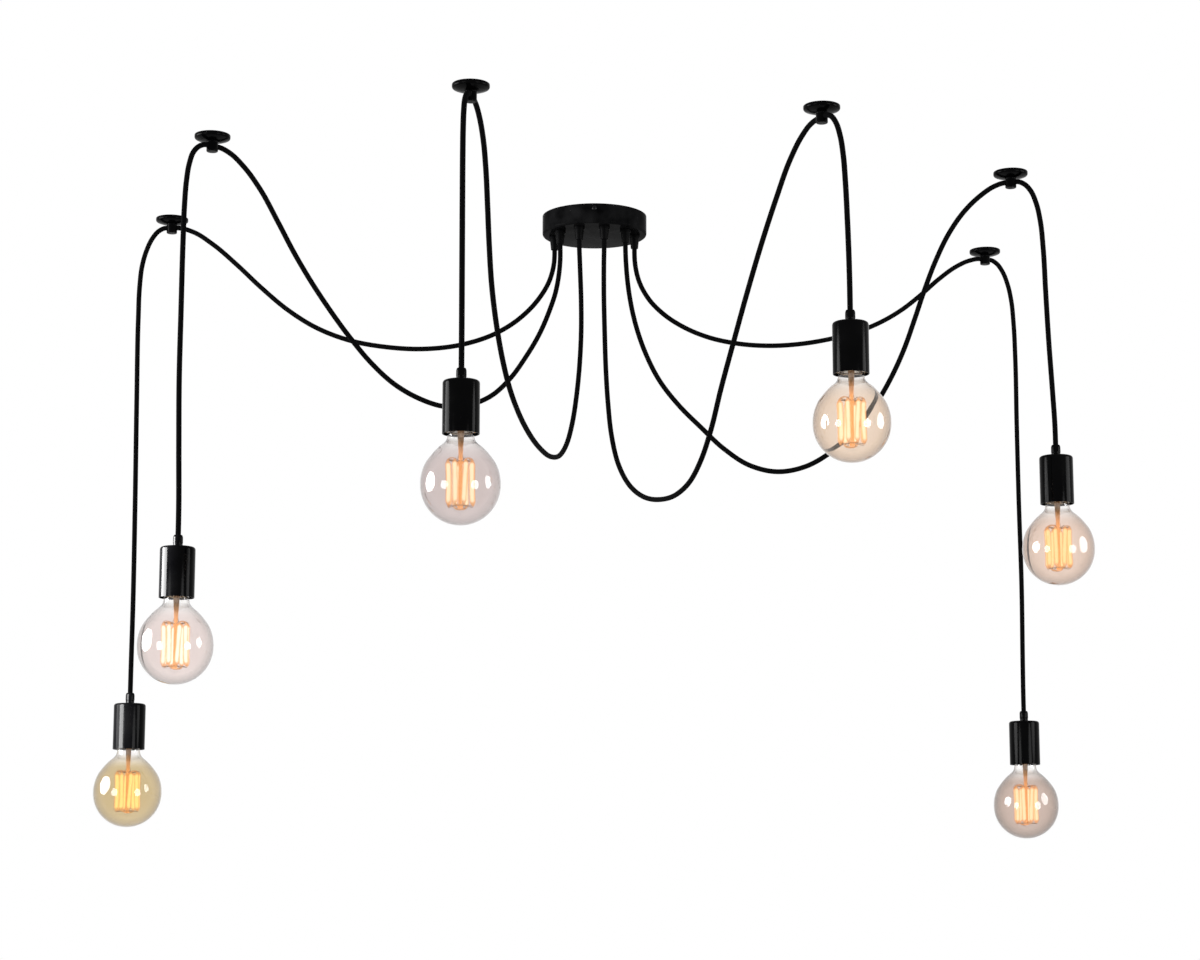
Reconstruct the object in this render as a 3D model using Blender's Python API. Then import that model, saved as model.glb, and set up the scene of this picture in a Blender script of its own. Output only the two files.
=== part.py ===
# Six-cord swag pendant lamp. A round canopy feeds six cloth-covered cords. Each cord
# sags out to its own ceiling hook, bends over it and hangs down to a lamp holder with a
# clear globe bulb.
# Frame: metres, +Z up. The origin is the middle of the canopy bracket's top face, on the
# ceiling plane. The fan of hooks opens towards -Y, which is the front.

import math

import bmesh
import bpy
import numpy as np
from mathutils import Vector

for old in list(bpy.data.objects):
    bpy.data.objects.remove(old, do_unlink=True)

# Clearances and cuts
fit_gap = 0.0003
cut_overrun = 0.004
merge_distance = 0.000001

# Cord
cord_diameter = 0.0070
cord_point_spacing = 0.0210
cord_bend_spacing = 0.0130
cord_soft_bend = 0.060
cord_lead = 0.0010
cord_end_stub = 0.0010
cord_end_angles_deg = (35.0, 65.0, 82.0)

# Where the cords lie. The arms' shares below say how much of each an arm has.
hook_circle_radius = 0.622
swag_depth = 0.445
lamp_drop = 0.7016
lamp_outset = 0.045

# Canopy cover
canopy_diameter = 0.151
canopy_height = 0.029
canopy_wall = 0.0012
canopy_edge_radius = 0.0035
canopy_rim_gap = 0.0005
canopy_segments = 32

# Ceiling bracket: a bar from front to back, with an ear turned down at each end
bracket_turn_deg = 90.0
bracket_width = 0.022
bracket_thickness = 0.002
bracket_ear_drop = 0.014
bracket_wall_clearance = 0.0006
slot_length = 0.014
slot_width = 0.0046
slot_place_share = 0.585

# Cover screws, one at the front and one at the back
screw_shank_diameter = 0.0035
screw_reach = 0.0030
screw_head_diameter = 0.0072
screw_head_height = 0.0024
screw_slot_width = 0.0009
screw_slot_depth = 0.0009
screw_drop_share = 0.56
screw_crown_shares = ((0.0, 1.0), (0.62, 0.86), (1.0, 0.40), (1.0, 0.0))

# Earth screw and terminal block under the bracket
earth_screw_spacing = 0.0095
earth_head_diameter = 0.0078
earth_head_height = 0.0026
terminal_length = 0.030
terminal_width = 0.014
terminal_height = 0.011
terminal_edge = 0.0009
terminal_bore_diameter = 0.0032
terminal_pole_shares = (-0.3, 0.0, 0.3)

# Cord grips under the canopy
grip_inset = 0.0175
grip_start_deg = 176.0
grip_step_deg = 36.0
grip_length = 0.0200
grip_mouth_wall = 0.0014
grip_body_wall = 0.0028
grip_flange_height = 0.0048
grip_flange_width = 0.0026
grip_nipple_wall = 0.0014
grip_nipple_length = 0.0042
grip_segments = 12

# Ceiling hooks
hook_disc_diameter = 0.0465
hook_disc_thickness = 0.0052
hook_dome_drop = 0.0040
hook_stem_diameter = 0.0150
hook_height = 0.0225
hook_hole_drop_share = 0.6444
hook_edge_share = 0.25
hook_dome_shares = ((1.0, 0.0), (0.55, 0.82))
hook_segments = 14

# Lamp holders: a metal cup with a neck that takes the cord
holder_diameter = 0.0445
holder_height = 0.0645
holder_wall = 0.0012
holder_shoulder = 0.0040
neck_wall = 0.0025
neck_height = 0.0150
neck_edge = 0.0008
corner_share = 0.29
holder_segments = 14

# Sockets inside the holders
socket_inset = 0.0035
socket_bore_clearance = 0.0009

# Bulbs: clear globe, screw base, glass stem with a cage of filament
globe_diameter = 0.095
globe_wall = 0.0010
bulb_neck_length = 0.0170
bulb_neck_shoulder = 0.0028
base_diameter = 0.0264
base_height = 0.0280
base_tip_diameter = 0.0095
base_tip_height = 0.0022
base_cone_height = 0.0040
base_crown_share = 0.86
base_segments = 12
globe_segments = 16
globe_outer_angles_deg = (90.0, 112.0, 135.0, 158.0)
globe_inner_angles_deg = (90.0, 125.0)
# From the neck down to the widest place: how far up and how far out each point is
globe_shoulder_shares = (
    (0.90, 0.006), (0.826, 0.04), (0.77, 0.137), (0.717, 0.273), (0.64, 0.44), (0.54, 0.615),
    (0.40, 0.815), (0.21, 0.957),
)
stem_diameter = 0.0085
stem_length = 0.0300
stem_end_diameter = 0.0046
cage_diameter = 0.0320
cage_top_rise = 0.0310
cage_bottom_drop = 0.0265
cage_wire_diameter = 0.0013
cage_runs = 8

# One entry for each arm: its name, the direction of its hook, and its shares of the hook
# circle, the deepest swag, the longest drop and the lamp's outset beyond the hook.
# Its cord's route is in metres. swag is (distance out from the grip, height), and drop is
# (distance out beyond the hook, height), both in the arm's own upright plane. The ends
# that lie in a grip, a hook or a neck are left out, because they follow those pieces.
arms = (
    {
        "name": "far_left",
        "hook_angle_deg": 179.1,
        "hook_reach_share": 0.989,
        "swag_depth_share": 0.4382,
        "lamp_drop_share": 0.9847,
        "lamp_outset_share": 0.9111,
        "swag": [
            (0.001, -0.070), (0.008, -0.096), (0.024, -0.123),
            (0.050, -0.150), (0.086, -0.173), (0.130, -0.188), (0.186, -0.195),
            (0.244, -0.192), (0.300, -0.181), (0.345, -0.163), (0.386, -0.137),
            (0.425, -0.104), (0.462, -0.069), (0.497, -0.039), (0.526, -0.0205),
            (0.5568, -0.0145),
        ],
        "drop": [
            (0.0190, -0.0190), (0.0280, -0.0300),
            (0.0360, -0.0480), (0.0420, -0.0720), (0.0445, -0.1000), (0.0452, -0.1500),
            (0.0440, -0.2700), (0.0420, -0.4200), (0.0408, -0.5600), (0.0410, -0.6600),
            (0.0410, -0.6909),
        ],
    },
    {
        "name": "mid_left",
        "hook_angle_deg": 219.3,
        "hook_reach_share": 1.029,
        "swag_depth_share": 0.7011,
        "lamp_drop_share": 0.7521,
        "lamp_outset_share": 0.7889,
        "swag": [
            (0.000, -0.072), (0.002, -0.092), (0.008, -0.120),
            (0.020, -0.151), (0.038, -0.187), (0.062, -0.223), (0.090, -0.258),
            (0.122, -0.286), (0.160, -0.304), (0.205, -0.312), (0.248, -0.306),
            (0.290, -0.291), (0.328, -0.267), (0.364, -0.236), (0.396, -0.204),
            (0.424, -0.173), (0.452, -0.138), (0.480, -0.098), (0.508, -0.0595),
            (0.534, -0.0335), (0.555, -0.0195), (0.5826, -0.0145),
        ],
        "drop": [
            (0.0190, -0.0183), (0.0274, -0.0272),
            (0.0334, -0.0440), (0.0372, -0.0690), (0.0390, -0.1000), (0.0398, -0.1500),
            (0.0400, -0.2400), (0.0400, -0.3300), (0.0378, -0.4200), (0.0357, -0.4950),
            (0.0355, -0.5277),
        ],
    },
    {
        "name": "front_left",
        "hook_angle_deg": 256.4,
        "hook_reach_share": 1.021,
        "swag_depth_share": 0.8764,
        "lamp_drop_share": 0.5117,
        "lamp_outset_share": 0.6889,
        "swag": [
            (-0.005, -0.085), (-0.012, -0.130), (-0.013, -0.180),
            (-0.004, -0.228), (0.014, -0.276), (0.039, -0.320), (0.072, -0.356),
            (0.113, -0.380), (0.165, -0.391), (0.225, -0.390), (0.286, -0.380),
            (0.342, -0.362), (0.389, -0.337), (0.426, -0.304), (0.454, -0.267),
            (0.475, -0.226), (0.488, -0.178), (0.497, -0.130), (0.506, -0.087),
            (0.519, -0.053), (0.537, -0.030), (0.554, -0.0185), (0.5780, -0.0145),
        ],
        "drop": [
            (0.0185, -0.0181), (0.0260, -0.0265),
            (0.0306, -0.0420), (0.0328, -0.0650), (0.0335, -0.1000), (0.0330, -0.1600),
            (0.0320, -0.2400), (0.0310, -0.3300), (0.0310, -0.3590),
        ],
    },
    {
        "name": "front_right",
        "hook_angle_deg": 298.3,
        "hook_reach_share": 0.968,
        "swag_depth_share": 1.0000,
        "lamp_drop_share": 0.3883,
        "lamp_outset_share": 1.2044,
        "swag": [
            (-0.001, -0.085), (-0.001, -0.130), (0.001, -0.180),
            (0.004, -0.232), (0.010, -0.285), (0.020, -0.335), (0.038, -0.378),
            (0.066, -0.411), (0.104, -0.434), (0.150, -0.445), (0.194, -0.444),
            (0.229, -0.431), (0.257, -0.406), (0.281, -0.371), (0.306, -0.321),
            (0.338, -0.263), (0.372, -0.203), (0.408, -0.144), (0.442, -0.094),
            (0.473, -0.053), (0.500, -0.0285), (0.520, -0.0175), (0.5460, -0.0145),
        ],
        "drop": [
            (0.0200, -0.0185), (0.0305, -0.0300),
            (0.0390, -0.0490), (0.0450, -0.0760), (0.0485, -0.1100), (0.0515, -0.1600),
            (0.0535, -0.2100), (0.0542, -0.2500), (0.0542, -0.2724),
        ],
    },
    {
        "name": "mid_right",
        "hook_angle_deg": 337.7,
        "hook_reach_share": 0.987,
        "swag_depth_share": 0.8876,
        "lamp_drop_share": 0.5433,
        "lamp_outset_share": 1.1333,
        "swag": [
            (0.001, -0.080), (0.005, -0.120), (0.014, -0.165),
            (0.029, -0.210), (0.051, -0.254), (0.080, -0.292), (0.112, -0.325),
            (0.146, -0.358), (0.184, -0.384), (0.224, -0.395), (0.264, -0.390),
            (0.302, -0.371), (0.338, -0.340), (0.367, -0.306), (0.388, -0.272),
            (0.406, -0.235), (0.421, -0.196), (0.436, -0.155), (0.453, -0.114),
            (0.472, -0.078), (0.494, -0.049), (0.517, -0.0290), (0.536, -0.0180),
            (0.5592, -0.0145),
        ],
        "drop": [
            (0.0185, -0.0188), (0.0270, -0.0290),
            (0.0340, -0.0470), (0.0390, -0.0730), (0.0418, -0.1100), (0.0435, -0.1700),
            (0.0458, -0.2400), (0.0490, -0.3100), (0.0508, -0.3550), (0.0510, -0.3812),
        ],
    },
    {
        "name": "far_right",
        "hook_angle_deg": 18.2,
        "hook_reach_share": 1.008,
        "swag_depth_share": 0.3978,
        "lamp_drop_share": 1.0000,
        "lamp_outset_share": 1.0333,
        "swag": [
            (0.001, -0.072), (0.008, -0.099), (0.023, -0.123),
            (0.046, -0.143), (0.076, -0.159), (0.114, -0.171), (0.160, -0.177),
            (0.212, -0.1765), (0.262, -0.170), (0.310, -0.159), (0.354, -0.145),
            (0.394, -0.127), (0.430, -0.105), (0.463, -0.079), (0.494, -0.052),
            (0.524, -0.0300), (0.546, -0.0190), (0.5739, -0.0145),
        ],
        "drop": [
            (0.0195, -0.0190), (0.0290, -0.0300),
            (0.0375, -0.0490), (0.0435, -0.0750), (0.0465, -0.1100), (0.0480, -0.1700),
            (0.0475, -0.2600), (0.0475, -0.3800), (0.0485, -0.5200), (0.0470, -0.6300),
            (0.0465, -0.6800), (0.0465, -0.7016),
        ],
    },
)

# Sizes that follow
grip_turn_fit = 1 / math.cos(math.pi / grip_segments)
holder_turn_fit = 1 / math.cos(math.pi / holder_segments)
cord_radius = cord_diameter / 2
cord_room = cord_radius + fit_gap
screw_room = screw_shank_diameter / 2 + fit_gap
canopy_radius = canopy_diameter / 2
canopy_floor_z = -canopy_height
plate_top_z = canopy_floor_z + canopy_wall
bracket_half_width = bracket_width / 2
bracket_corner_radius = canopy_radius - canopy_wall - bracket_wall_clearance
bracket_half_length = math.sqrt(bracket_corner_radius**2 - bracket_half_width**2)
screw_drop = bracket_ear_drop * screw_drop_share
grip_circle_radius = canopy_radius - grip_inset
grip_bore_radius = cord_room * grip_turn_fit
nipple_radius = grip_bore_radius + grip_nipple_wall
nipple_top_z = canopy_wall + grip_nipple_length
hook_hole_drop = hook_height * hook_hole_drop_share
hook_edge = hook_disc_thickness * hook_edge_share
holder_radius = holder_diameter / 2
holder_inner_radius = holder_radius - holder_wall
neck_bore_radius = cord_room * holder_turn_fit
neck_radius = neck_bore_radius + neck_wall
neck_top_z = -fit_gap
holder_top_z = neck_top_z - neck_height
holder_roof_z = holder_top_z - holder_wall
holder_bottom_z = holder_top_z - holder_height
inner_shoulder = holder_shoulder - holder_wall
socket_bottom_z = holder_bottom_z + socket_inset
base_radius = base_diameter / 2
base_bottom_z = socket_bottom_z
base_tip_z = base_bottom_z + base_height
glass_top_z = base_bottom_z - fit_gap
globe_radius = globe_diameter / 2
globe_centre_z = base_bottom_z - bulb_neck_length - globe_radius
deep_cut = 2 * cut_overrun


def make_material(name, color, roughness, metallic=0.0, alpha=1.0, transmission=0.0, glow=None):
    material = bpy.data.materials.new(name)
    material.use_nodes = True
    shader = material.node_tree.nodes["Principled BSDF"]
    shader.inputs["Base Color"].default_value = (*color, 1.0)
    shader.inputs["Roughness"].default_value = roughness
    shader.inputs["Metallic"].default_value = metallic
    shader.inputs["Alpha"].default_value = alpha
    shader.inputs["Transmission Weight"].default_value = transmission
    if glow:
        shader.inputs["Emission Color"].default_value = (*glow, 1.0)
        shader.inputs["Emission Strength"].default_value = 1.0
    material.diffuse_color = (*color, alpha)
    return material


black_metal = make_material("black_metal", (0.012, 0.012, 0.013), 0.34, 0.2)
black_plastic = make_material("black_plastic", (0.014, 0.014, 0.015), 0.45)
black_cloth = make_material("black_cloth", (0.010, 0.010, 0.011), 0.88)
zinc_steel = make_material("zinc_steel", (0.60, 0.60, 0.58), 0.36, 0.9)
brass = make_material("brass", (0.78, 0.60, 0.30), 0.30, 0.9)
plated_shell = make_material("plated_shell", (0.72, 0.70, 0.66), 0.30, 0.9)
socket_plastic = make_material("socket_plastic", (0.74, 0.70, 0.62), 0.45)
terminal_plastic = make_material("terminal_plastic", (0.80, 0.80, 0.78), 0.50)
clear_glass = make_material("clear_glass", (0.98, 0.95, 0.90), 0.02, 0.0, 0.25, 0.9)
glowing_wire = make_material("glowing_wire", (1.0, 0.72, 0.36), 0.5, 0.0, 1.0, 0.0, (1.0, 0.55, 0.18))


def add_object(name, data, material, location=(0.0, 0.0, 0.0), turn_z=0.0, parent=None):
    made = bpy.data.objects.new(name, data)
    bpy.context.scene.collection.objects.link(made)
    made.location = location
    made.rotation_euler = (0.0, 0.0, turn_z)
    if parent:
        made.parent = parent
    if material and data and not data.materials:
        data.materials.append(material)
    return made


def finish_mesh(work, name):
    bmesh.ops.remove_doubles(work, verts=work.verts, dist=merge_distance)
    bmesh.ops.recalc_face_normals(work, faces=work.faces)
    mesh = bpy.data.meshes.new(name)
    work.to_mesh(mesh)
    work.free()
    smooth_mesh(mesh)
    return mesh


def smooth_mesh(mesh):
    mesh.shade_smooth()
    mesh.set_sharp_from_angle(angle=math.radians(38))


# A solid turned about Z. The outline is (radius, height) points. It closes on itself, or
# starts and ends on the axis.
def turned_mesh(name, outline, segments):
    work = bmesh.new()
    points = [work.verts.new((radius, 0.0, height)) for radius, height in outline]
    edges = [work.edges.new(pair) for pair in zip(points, points[1:])]
    if outline[0][0] > 0:
        edges.append(work.edges.new((points[-1], points[0])))
    bmesh.ops.spin(
        work,
        geom=points + edges,
        cent=(0.0, 0.0, 0.0),
        axis=(0.0, 0.0, 1.0),
        angle=2 * math.pi,
        steps=segments,
        use_merge=True,
    )
    return finish_mesh(work, name)


# A flat outline of (x, z) points, drawn out along Y
def bar_mesh(name, outline, width):
    work = bmesh.new()
    face = work.faces.new([work.verts.new((x, -width / 2, z)) for x, z in outline])
    drawn = bmesh.ops.extrude_face_region(work, geom=[face])
    moved = [item for item in drawn["geom"] if isinstance(item, bmesh.types.BMVert)]
    bmesh.ops.translate(work, verts=moved, vec=(0.0, width, 0.0))
    return finish_mesh(work, name)


def add_cutter(mesh, location=(0.0, 0.0, 0.0), rotation=(0.0, 0.0, 0.0)):
    cutter = add_object("cutter", mesh, None, location)
    cutter.rotation_euler = rotation
    cutter.hide_render = True
    cutter.display_type = "WIRE"
    return cutter


def drill(radius, length, location, rotation=(0.0, 0.0, 0.0)):
    outline = [(0.0, length / 2), (radius, length / 2), (radius, -length / 2), (0.0, -length / 2)]
    return add_cutter(turned_mesh("drill", outline, grip_segments), location, rotation)


# Cut a mesh with cutters and return the mesh that is left. The cutters are removed.
def cut_mesh(name, mesh, cutters):
    stock = add_object(name, mesh, None)
    for cutter in cutters:
        bite = stock.modifiers.new("cut", "BOOLEAN")
        bite.operation = "DIFFERENCE"
        bite.solver = "EXACT"
        bite.object = cutter
    bpy.context.view_layer.update()
    seen = stock.evaluated_get(bpy.context.evaluated_depsgraph_get())
    left = bpy.data.meshes.new_from_object(seen)
    for used in [stock, *cutters]:
        bpy.data.objects.remove(used, do_unlink=True)
    smooth_mesh(left)
    return left


def grip_place(i):
    angle = math.radians(grip_start_deg + i * grip_step_deg)
    return grip_circle_radius * math.cos(angle), grip_circle_radius * math.sin(angle)


# Sub-parts of the canopy
def make_canopy_cover():
    inner = canopy_radius - canopy_wall
    corner = canopy_edge_radius
    inner_corner = corner - canopy_wall
    outline = [(0.0, plate_top_z), (inner - inner_corner, plate_top_z)]
    outline += [(inner, plate_top_z + inner_corner)]
    outline += [(inner, -canopy_rim_gap), (canopy_radius, -canopy_rim_gap)]
    for degrees in (0, 45, 90):
        a = math.radians(degrees)
        out = canopy_radius - corner + corner * math.cos(a)
        outline.append((out, canopy_floor_z + corner - corner * math.sin(a)))
    outline += [(0.0, canopy_floor_z)]
    mesh = turned_mesh("canopy_cover", outline, canopy_segments)
    cutters = []
    nipple_room = (nipple_radius + fit_gap) * grip_turn_fit
    for i in range(len(arms)):
        cutters.append(drill(nipple_room, canopy_wall + deep_cut, (*grip_place(i), canopy_floor_z)))
    turn = math.radians(bracket_turn_deg)
    for side in (-1, 1):
        out = side * canopy_radius
        place = (out * math.cos(turn), out * math.sin(turn), -screw_drop)
        cutters.append(drill(screw_room * grip_turn_fit, deep_cut, place, (0.0, math.pi / 2, turn)))
    add_object("canopy_cover", cut_mesh("canopy_cover", mesh, cutters), black_metal)


def make_ceiling_bracket():
    half = bracket_half_length
    t = bracket_thickness
    ear = -bracket_ear_drop
    outline = [
        (-half, 0.0), (half, 0.0), (half, ear), (half - t, ear),
        (half - t, -t), (-half + t, -t), (-half + t, ear), (-half, ear),
    ]
    mesh = bar_mesh("ceiling_bracket", outline, bracket_width)
    slot_end = slot_width / 2
    run = slot_length / 2 - slot_end
    ring = []
    for side in (1, -1):
        for degrees in (-90, -45, 0, 45, 90):
            a = math.radians(degrees)
            ring.append((side * (run + slot_end * math.cos(a)), side * slot_end * math.sin(a)))
    cutters = []
    for side in (-1, 1):
        slot = bar_mesh("slot", ring, deep_cut)
        place = (side * half * slot_place_share, 0.0, 0.0)
        cutters.append(add_cutter(slot, place, (math.pi / 2, 0.0, 0.0)))
        place = (side * half, 0.0, -screw_drop)
        cutters.append(drill(screw_room * grip_turn_fit, deep_cut, place, (0.0, math.pi / 2, 0.0)))
    place = (terminal_length / 2 + earth_screw_spacing, 0.0, 0.0)
    cutters.append(drill(screw_room * grip_turn_fit, deep_cut, place))
    mesh = cut_mesh("ceiling_bracket", mesh, cutters)
    add_object("ceiling_bracket", mesh, zinc_steel, parent=bracket_frame)


# A round-headed screw along its own Z, with its head up and its seat at zero
def screw_mesh(name, head_diameter, head_height, shank_length):
    shank = screw_shank_diameter / 2
    outline = [(out * head_diameter / 2, up * head_height) for out, up in screw_crown_shares]
    outline += [(shank, 0.0), (shank, -shank_length), (0.0, -shank_length)]
    mesh = turned_mesh(name, outline, grip_segments)
    half = head_diameter / 2 + cut_overrun
    floor = head_height - screw_slot_depth
    ceiling = head_height + cut_overrun
    ring = [(-half, floor), (half, floor), (half, ceiling), (-half, ceiling)]
    return cut_mesh(name, mesh, [add_cutter(bar_mesh("slot", ring, screw_slot_width))])


def make_screws():
    wall_to_ear = canopy_radius - bracket_half_length + bracket_thickness
    shank = wall_to_ear + screw_reach
    for side, name in ((-1, "cover_screw_front"), (1, "cover_screw_back")):
        mesh = screw_mesh(name, screw_head_diameter, screw_head_height, shank)
        place = (side * (canopy_radius + fit_gap), 0.0, -screw_drop)
        screw = add_object(name, mesh, black_metal, place, parent=bracket_frame)
        screw.rotation_euler = (0.0, side * math.pi / 2, 0.0)
    mesh = screw_mesh("earth_screw", earth_head_diameter, earth_head_height, bracket_thickness)
    place = (terminal_length / 2 + earth_screw_spacing, 0.0, -bracket_thickness - fit_gap)
    screw = add_object("earth_screw", mesh, brass, place, parent=bracket_frame)
    screw.rotation_euler = (math.pi, 0.0, 0.0)


def make_terminal_block():
    work = bmesh.new()
    bmesh.ops.create_cube(work, size=1)
    bmesh.ops.scale(work, verts=work.verts, vec=(terminal_length, terminal_width, terminal_height))
    bmesh.ops.bevel(
        work, geom=list(work.edges), offset=terminal_edge, affect="EDGES", segments=1,
        profile=0.5, material=-1,
    )
    mesh = finish_mesh(work, "terminal_block")
    cutters = []
    for share in terminal_pole_shares:
        place = (share * terminal_length, 0.0, 0.0)
        length = terminal_width + deep_cut
        cutters.append(drill(terminal_bore_diameter / 2, length, place, (math.pi / 2, 0.0, 0.0)))
    mesh = cut_mesh("terminal_block", mesh, cutters)
    middle = -bracket_thickness - fit_gap - terminal_height / 2
    place = (0.0, 0.0, middle)
    add_object("terminal_block", mesh, terminal_plastic, place, parent=bracket_frame)


# A cord grip. Zero is the canopy's under face: the threaded nipple goes up through the
# plate, the flange and the tapered mouth are below it.
def grip_mesh():
    flange = nipple_radius + grip_flange_width
    outline = [
        (grip_bore_radius, nipple_top_z), (grip_bore_radius, -grip_length),
        (grip_bore_radius + grip_mouth_wall, -grip_length),
        (grip_bore_radius + grip_body_wall, -grip_flange_height),
        (flange, -grip_flange_height), (flange, -fit_gap), (nipple_radius, -fit_gap),
        (nipple_radius, nipple_top_z),
    ]
    return turned_mesh("canopy_grip", outline, grip_segments)


# A ceiling hook. Zero is the top face. The cord's cross hole runs along X.
def hook_mesh():
    disc = hook_disc_diameter / 2
    stem = hook_stem_diameter / 2
    rim = disc - hook_edge
    outline = [(0.0, 0.0), (rim, 0.0), (disc, -hook_edge)]
    outline += [(disc, hook_edge - hook_disc_thickness)]
    for out, drop in hook_dome_shares:
        outline.append((stem + (rim - stem) * out, -hook_disc_thickness - hook_dome_drop * drop))
    outline += [(stem, -hook_disc_thickness - hook_dome_drop)]
    outline += [(stem, hook_edge - hook_height), (stem - hook_edge, -hook_height)]
    outline += [(0.0, -hook_height)]
    mesh = turned_mesh("ceiling_hook", outline, hook_segments)
    place = (0.0, 0.0, -hook_hole_drop)
    length = hook_stem_diameter + cut_overrun
    hole = drill(cord_room * grip_turn_fit, length, place, (0.0, math.pi / 2, 0.0))
    return cut_mesh("ceiling_hook", mesh, [hole])


# Pendant pieces. Zero is the end of the cord, where the holder tilts on it.
def holder_mesh():
    bend = holder_shoulder
    soft = holder_shoulder * corner_share
    bore_floor_z = -cord_radius - fit_gap
    outline = [
        (0.0, bore_floor_z), (neck_bore_radius, bore_floor_z), (neck_bore_radius, neck_top_z),
        (neck_radius - neck_edge, neck_top_z), (neck_radius, neck_top_z - neck_edge),
        (neck_radius, holder_top_z), (holder_radius - bend, holder_top_z),
        (holder_radius - soft, holder_top_z - soft), (holder_radius, holder_top_z - bend),
        (holder_radius, holder_bottom_z), (holder_inner_radius, holder_bottom_z),
        (holder_inner_radius, holder_roof_z - inner_shoulder),
        (holder_inner_radius - inner_shoulder, holder_roof_z), (0.0, holder_roof_z),
    ]
    return turned_mesh("lamp_holder", outline, holder_segments)


def socket_mesh():
    outer = holder_inner_radius - fit_gap
    top = holder_roof_z - fit_gap
    bore = (base_radius + socket_bore_clearance) * holder_turn_fit
    bore_top = base_tip_z + fit_gap
    outline = [
        (0.0, top), (outer - inner_shoulder, top), (outer, top - inner_shoulder),
        (outer, socket_bottom_z), (bore, socket_bottom_z), (bore, bore_top), (0.0, bore_top),
    ]
    return turned_mesh("socket", outline, holder_segments)


# One side of the glass, from its neck down to the bottom of the globe
def globe_outline(radius, neck, lip, angles):
    outline = [(lip, glass_top_z)]
    for up, out in globe_shoulder_shares:
        place = globe_centre_z + (glass_top_z - globe_centre_z) * up
        outline.append((neck + (radius - neck) * out, place))
    for degrees in angles:
        a = math.radians(degrees)
        outline.append((radius * math.sin(a), globe_centre_z + radius * math.cos(a)))
    outline.append((0.0, globe_centre_z - radius))
    return outline


def glass_mesh():
    neck = base_radius + bulb_neck_shoulder
    inner_neck = neck - globe_wall
    lip = base_radius - globe_wall
    outer = globe_outline(globe_radius, neck, neck, globe_outer_angles_deg)
    inner = globe_outline(globe_radius - globe_wall, inner_neck, lip, globe_inner_angles_deg)
    return turned_mesh("bulb_glass", outer[::-1] + inner, globe_segments)


def base_mesh():
    tip = base_tip_diameter / 2
    tip_bottom = base_tip_z - base_tip_height
    shoulder = tip_bottom - base_cone_height
    outline = [
        (0.0, base_tip_z), (tip, base_tip_z), (tip, tip_bottom),
        (base_radius * base_crown_share, shoulder), (base_radius, shoulder - base_tip_height),
        (base_radius, base_bottom_z), (0.0, base_bottom_z),
    ]
    return turned_mesh("bulb_base", outline, base_segments)


# The glass stem, then one wire that goes up and down round it as a cage
def filament_path():
    stem_bottom = glass_top_z - stem_length
    wire_share = cage_wire_diameter / stem_diameter
    path = [(0.0, 0.0, glass_top_z), (0.0, 0.0, stem_bottom)]
    path.append((0.0, 0.0, stem_bottom - 2 * cage_wire_diameter))
    shares = [1.0, stem_end_diameter / stem_diameter, wire_share]
    heights = [globe_centre_z - cage_bottom_drop, globe_centre_z + cage_top_rise]
    for i in range(cage_runs):
        angle = 2 * math.pi * i / cage_runs
        out = cage_diameter / 2
        for height in heights:
            path.append((out * math.cos(angle), out * math.sin(angle), height))
            shares.append(wire_share)
        heights.reverse()
    return path, shares


# A tube along the path's points. Each point may have its own share of the radius.
def tube_curve(name, path, radius, resolution, shares):
    curve = bpy.data.curves.new(name, "CURVE")
    curve.dimensions = "3D"
    curve.bevel_depth = radius
    curve.bevel_resolution = resolution
    curve.use_fill_caps = True
    spline = curve.splines.new("POLY")
    spline.points.add(len(path) - 1)
    for point, place, share in zip(spline.points, path, shares):
        point.co = (*place, 1.0)
        point.radius = share
    spline.use_smooth = True
    return curve


# A smooth curve through a cord's route points, read off at even steps, which are shorter
# where it bends in less than cord_soft_bend. Its first and last stretches are straight,
# because they lie in a grip, a hook or a neck.
def smooth_route(route):
    points = np.array(route, dtype=float)
    steps = np.linalg.norm(np.diff(points, axis=0), axis=1)
    place = np.concatenate(([0.0], np.cumsum(steps)))
    slopes = np.gradient(points, place, axis=0)
    slopes[1] = (points[1] - points[0]) / steps[0]
    slopes[-2] = (points[-1] - points[-2]) / steps[-1]
    fine = []
    for i in range(1, len(points) - 2):
        for t in np.linspace(0, 1, 24, endpoint=False):
            here = (2 * t**3 - 3 * t**2 + 1) * points[i]
            there = (3 * t**2 - 2 * t**3) * points[i + 1]
            leave = (t**3 - 2 * t**2 + t) * slopes[i] * steps[i]
            arrive = (t**3 - t**2) * slopes[i + 1] * steps[i]
            fine.append(here + there + leave + arrive)
    fine.append(points[-2])
    fine = np.array(fine)
    legs = np.diff(fine, axis=0)
    sizes = np.linalg.norm(legs, axis=1)
    heads = np.unwrap(np.arctan2(legs[:, 1], legs[:, 0]))
    bends = np.abs(np.gradient(heads)) / sizes
    spacing = np.where(bends * cord_soft_bend > 1, cord_bend_spacing, cord_point_spacing)
    run = np.concatenate(([0.0], np.cumsum(sizes / spacing)))
    marks = np.linspace(0, run[-1], max(2, round(run[-1])) + 1)
    middle = [tuple(np.interp(mark, run, fine[:, axis]) for axis in (0, 1)) for mark in marks]
    return [tuple(points[0]), *middle, tuple(points[-1])]


def route_length(path):
    return sum(math.dist(a, b) for a, b in zip(path, path[1:]))


def swag_path(arm, span):
    route = arm["swag"]
    wide = span / route[-1][0]
    deep = swag_depth * arm["swag_depth_share"] / -min(z for x, z in route)
    cord_top = canopy_floor_z + nipple_top_z + cord_end_stub
    grip_exit = canopy_floor_z - grip_length - cord_lead
    hook_entry = span - hook_stem_diameter / 2 - cord_lead
    path = [(0.0, cord_top), (0.0, grip_exit)]
    path += [(x * wide, z * deep) for x, z in route[:-1]]
    path += [(hook_entry, -hook_hole_drop), (span - fit_gap / 2, -hook_hole_drop)]
    return smooth_route(path)


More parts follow.
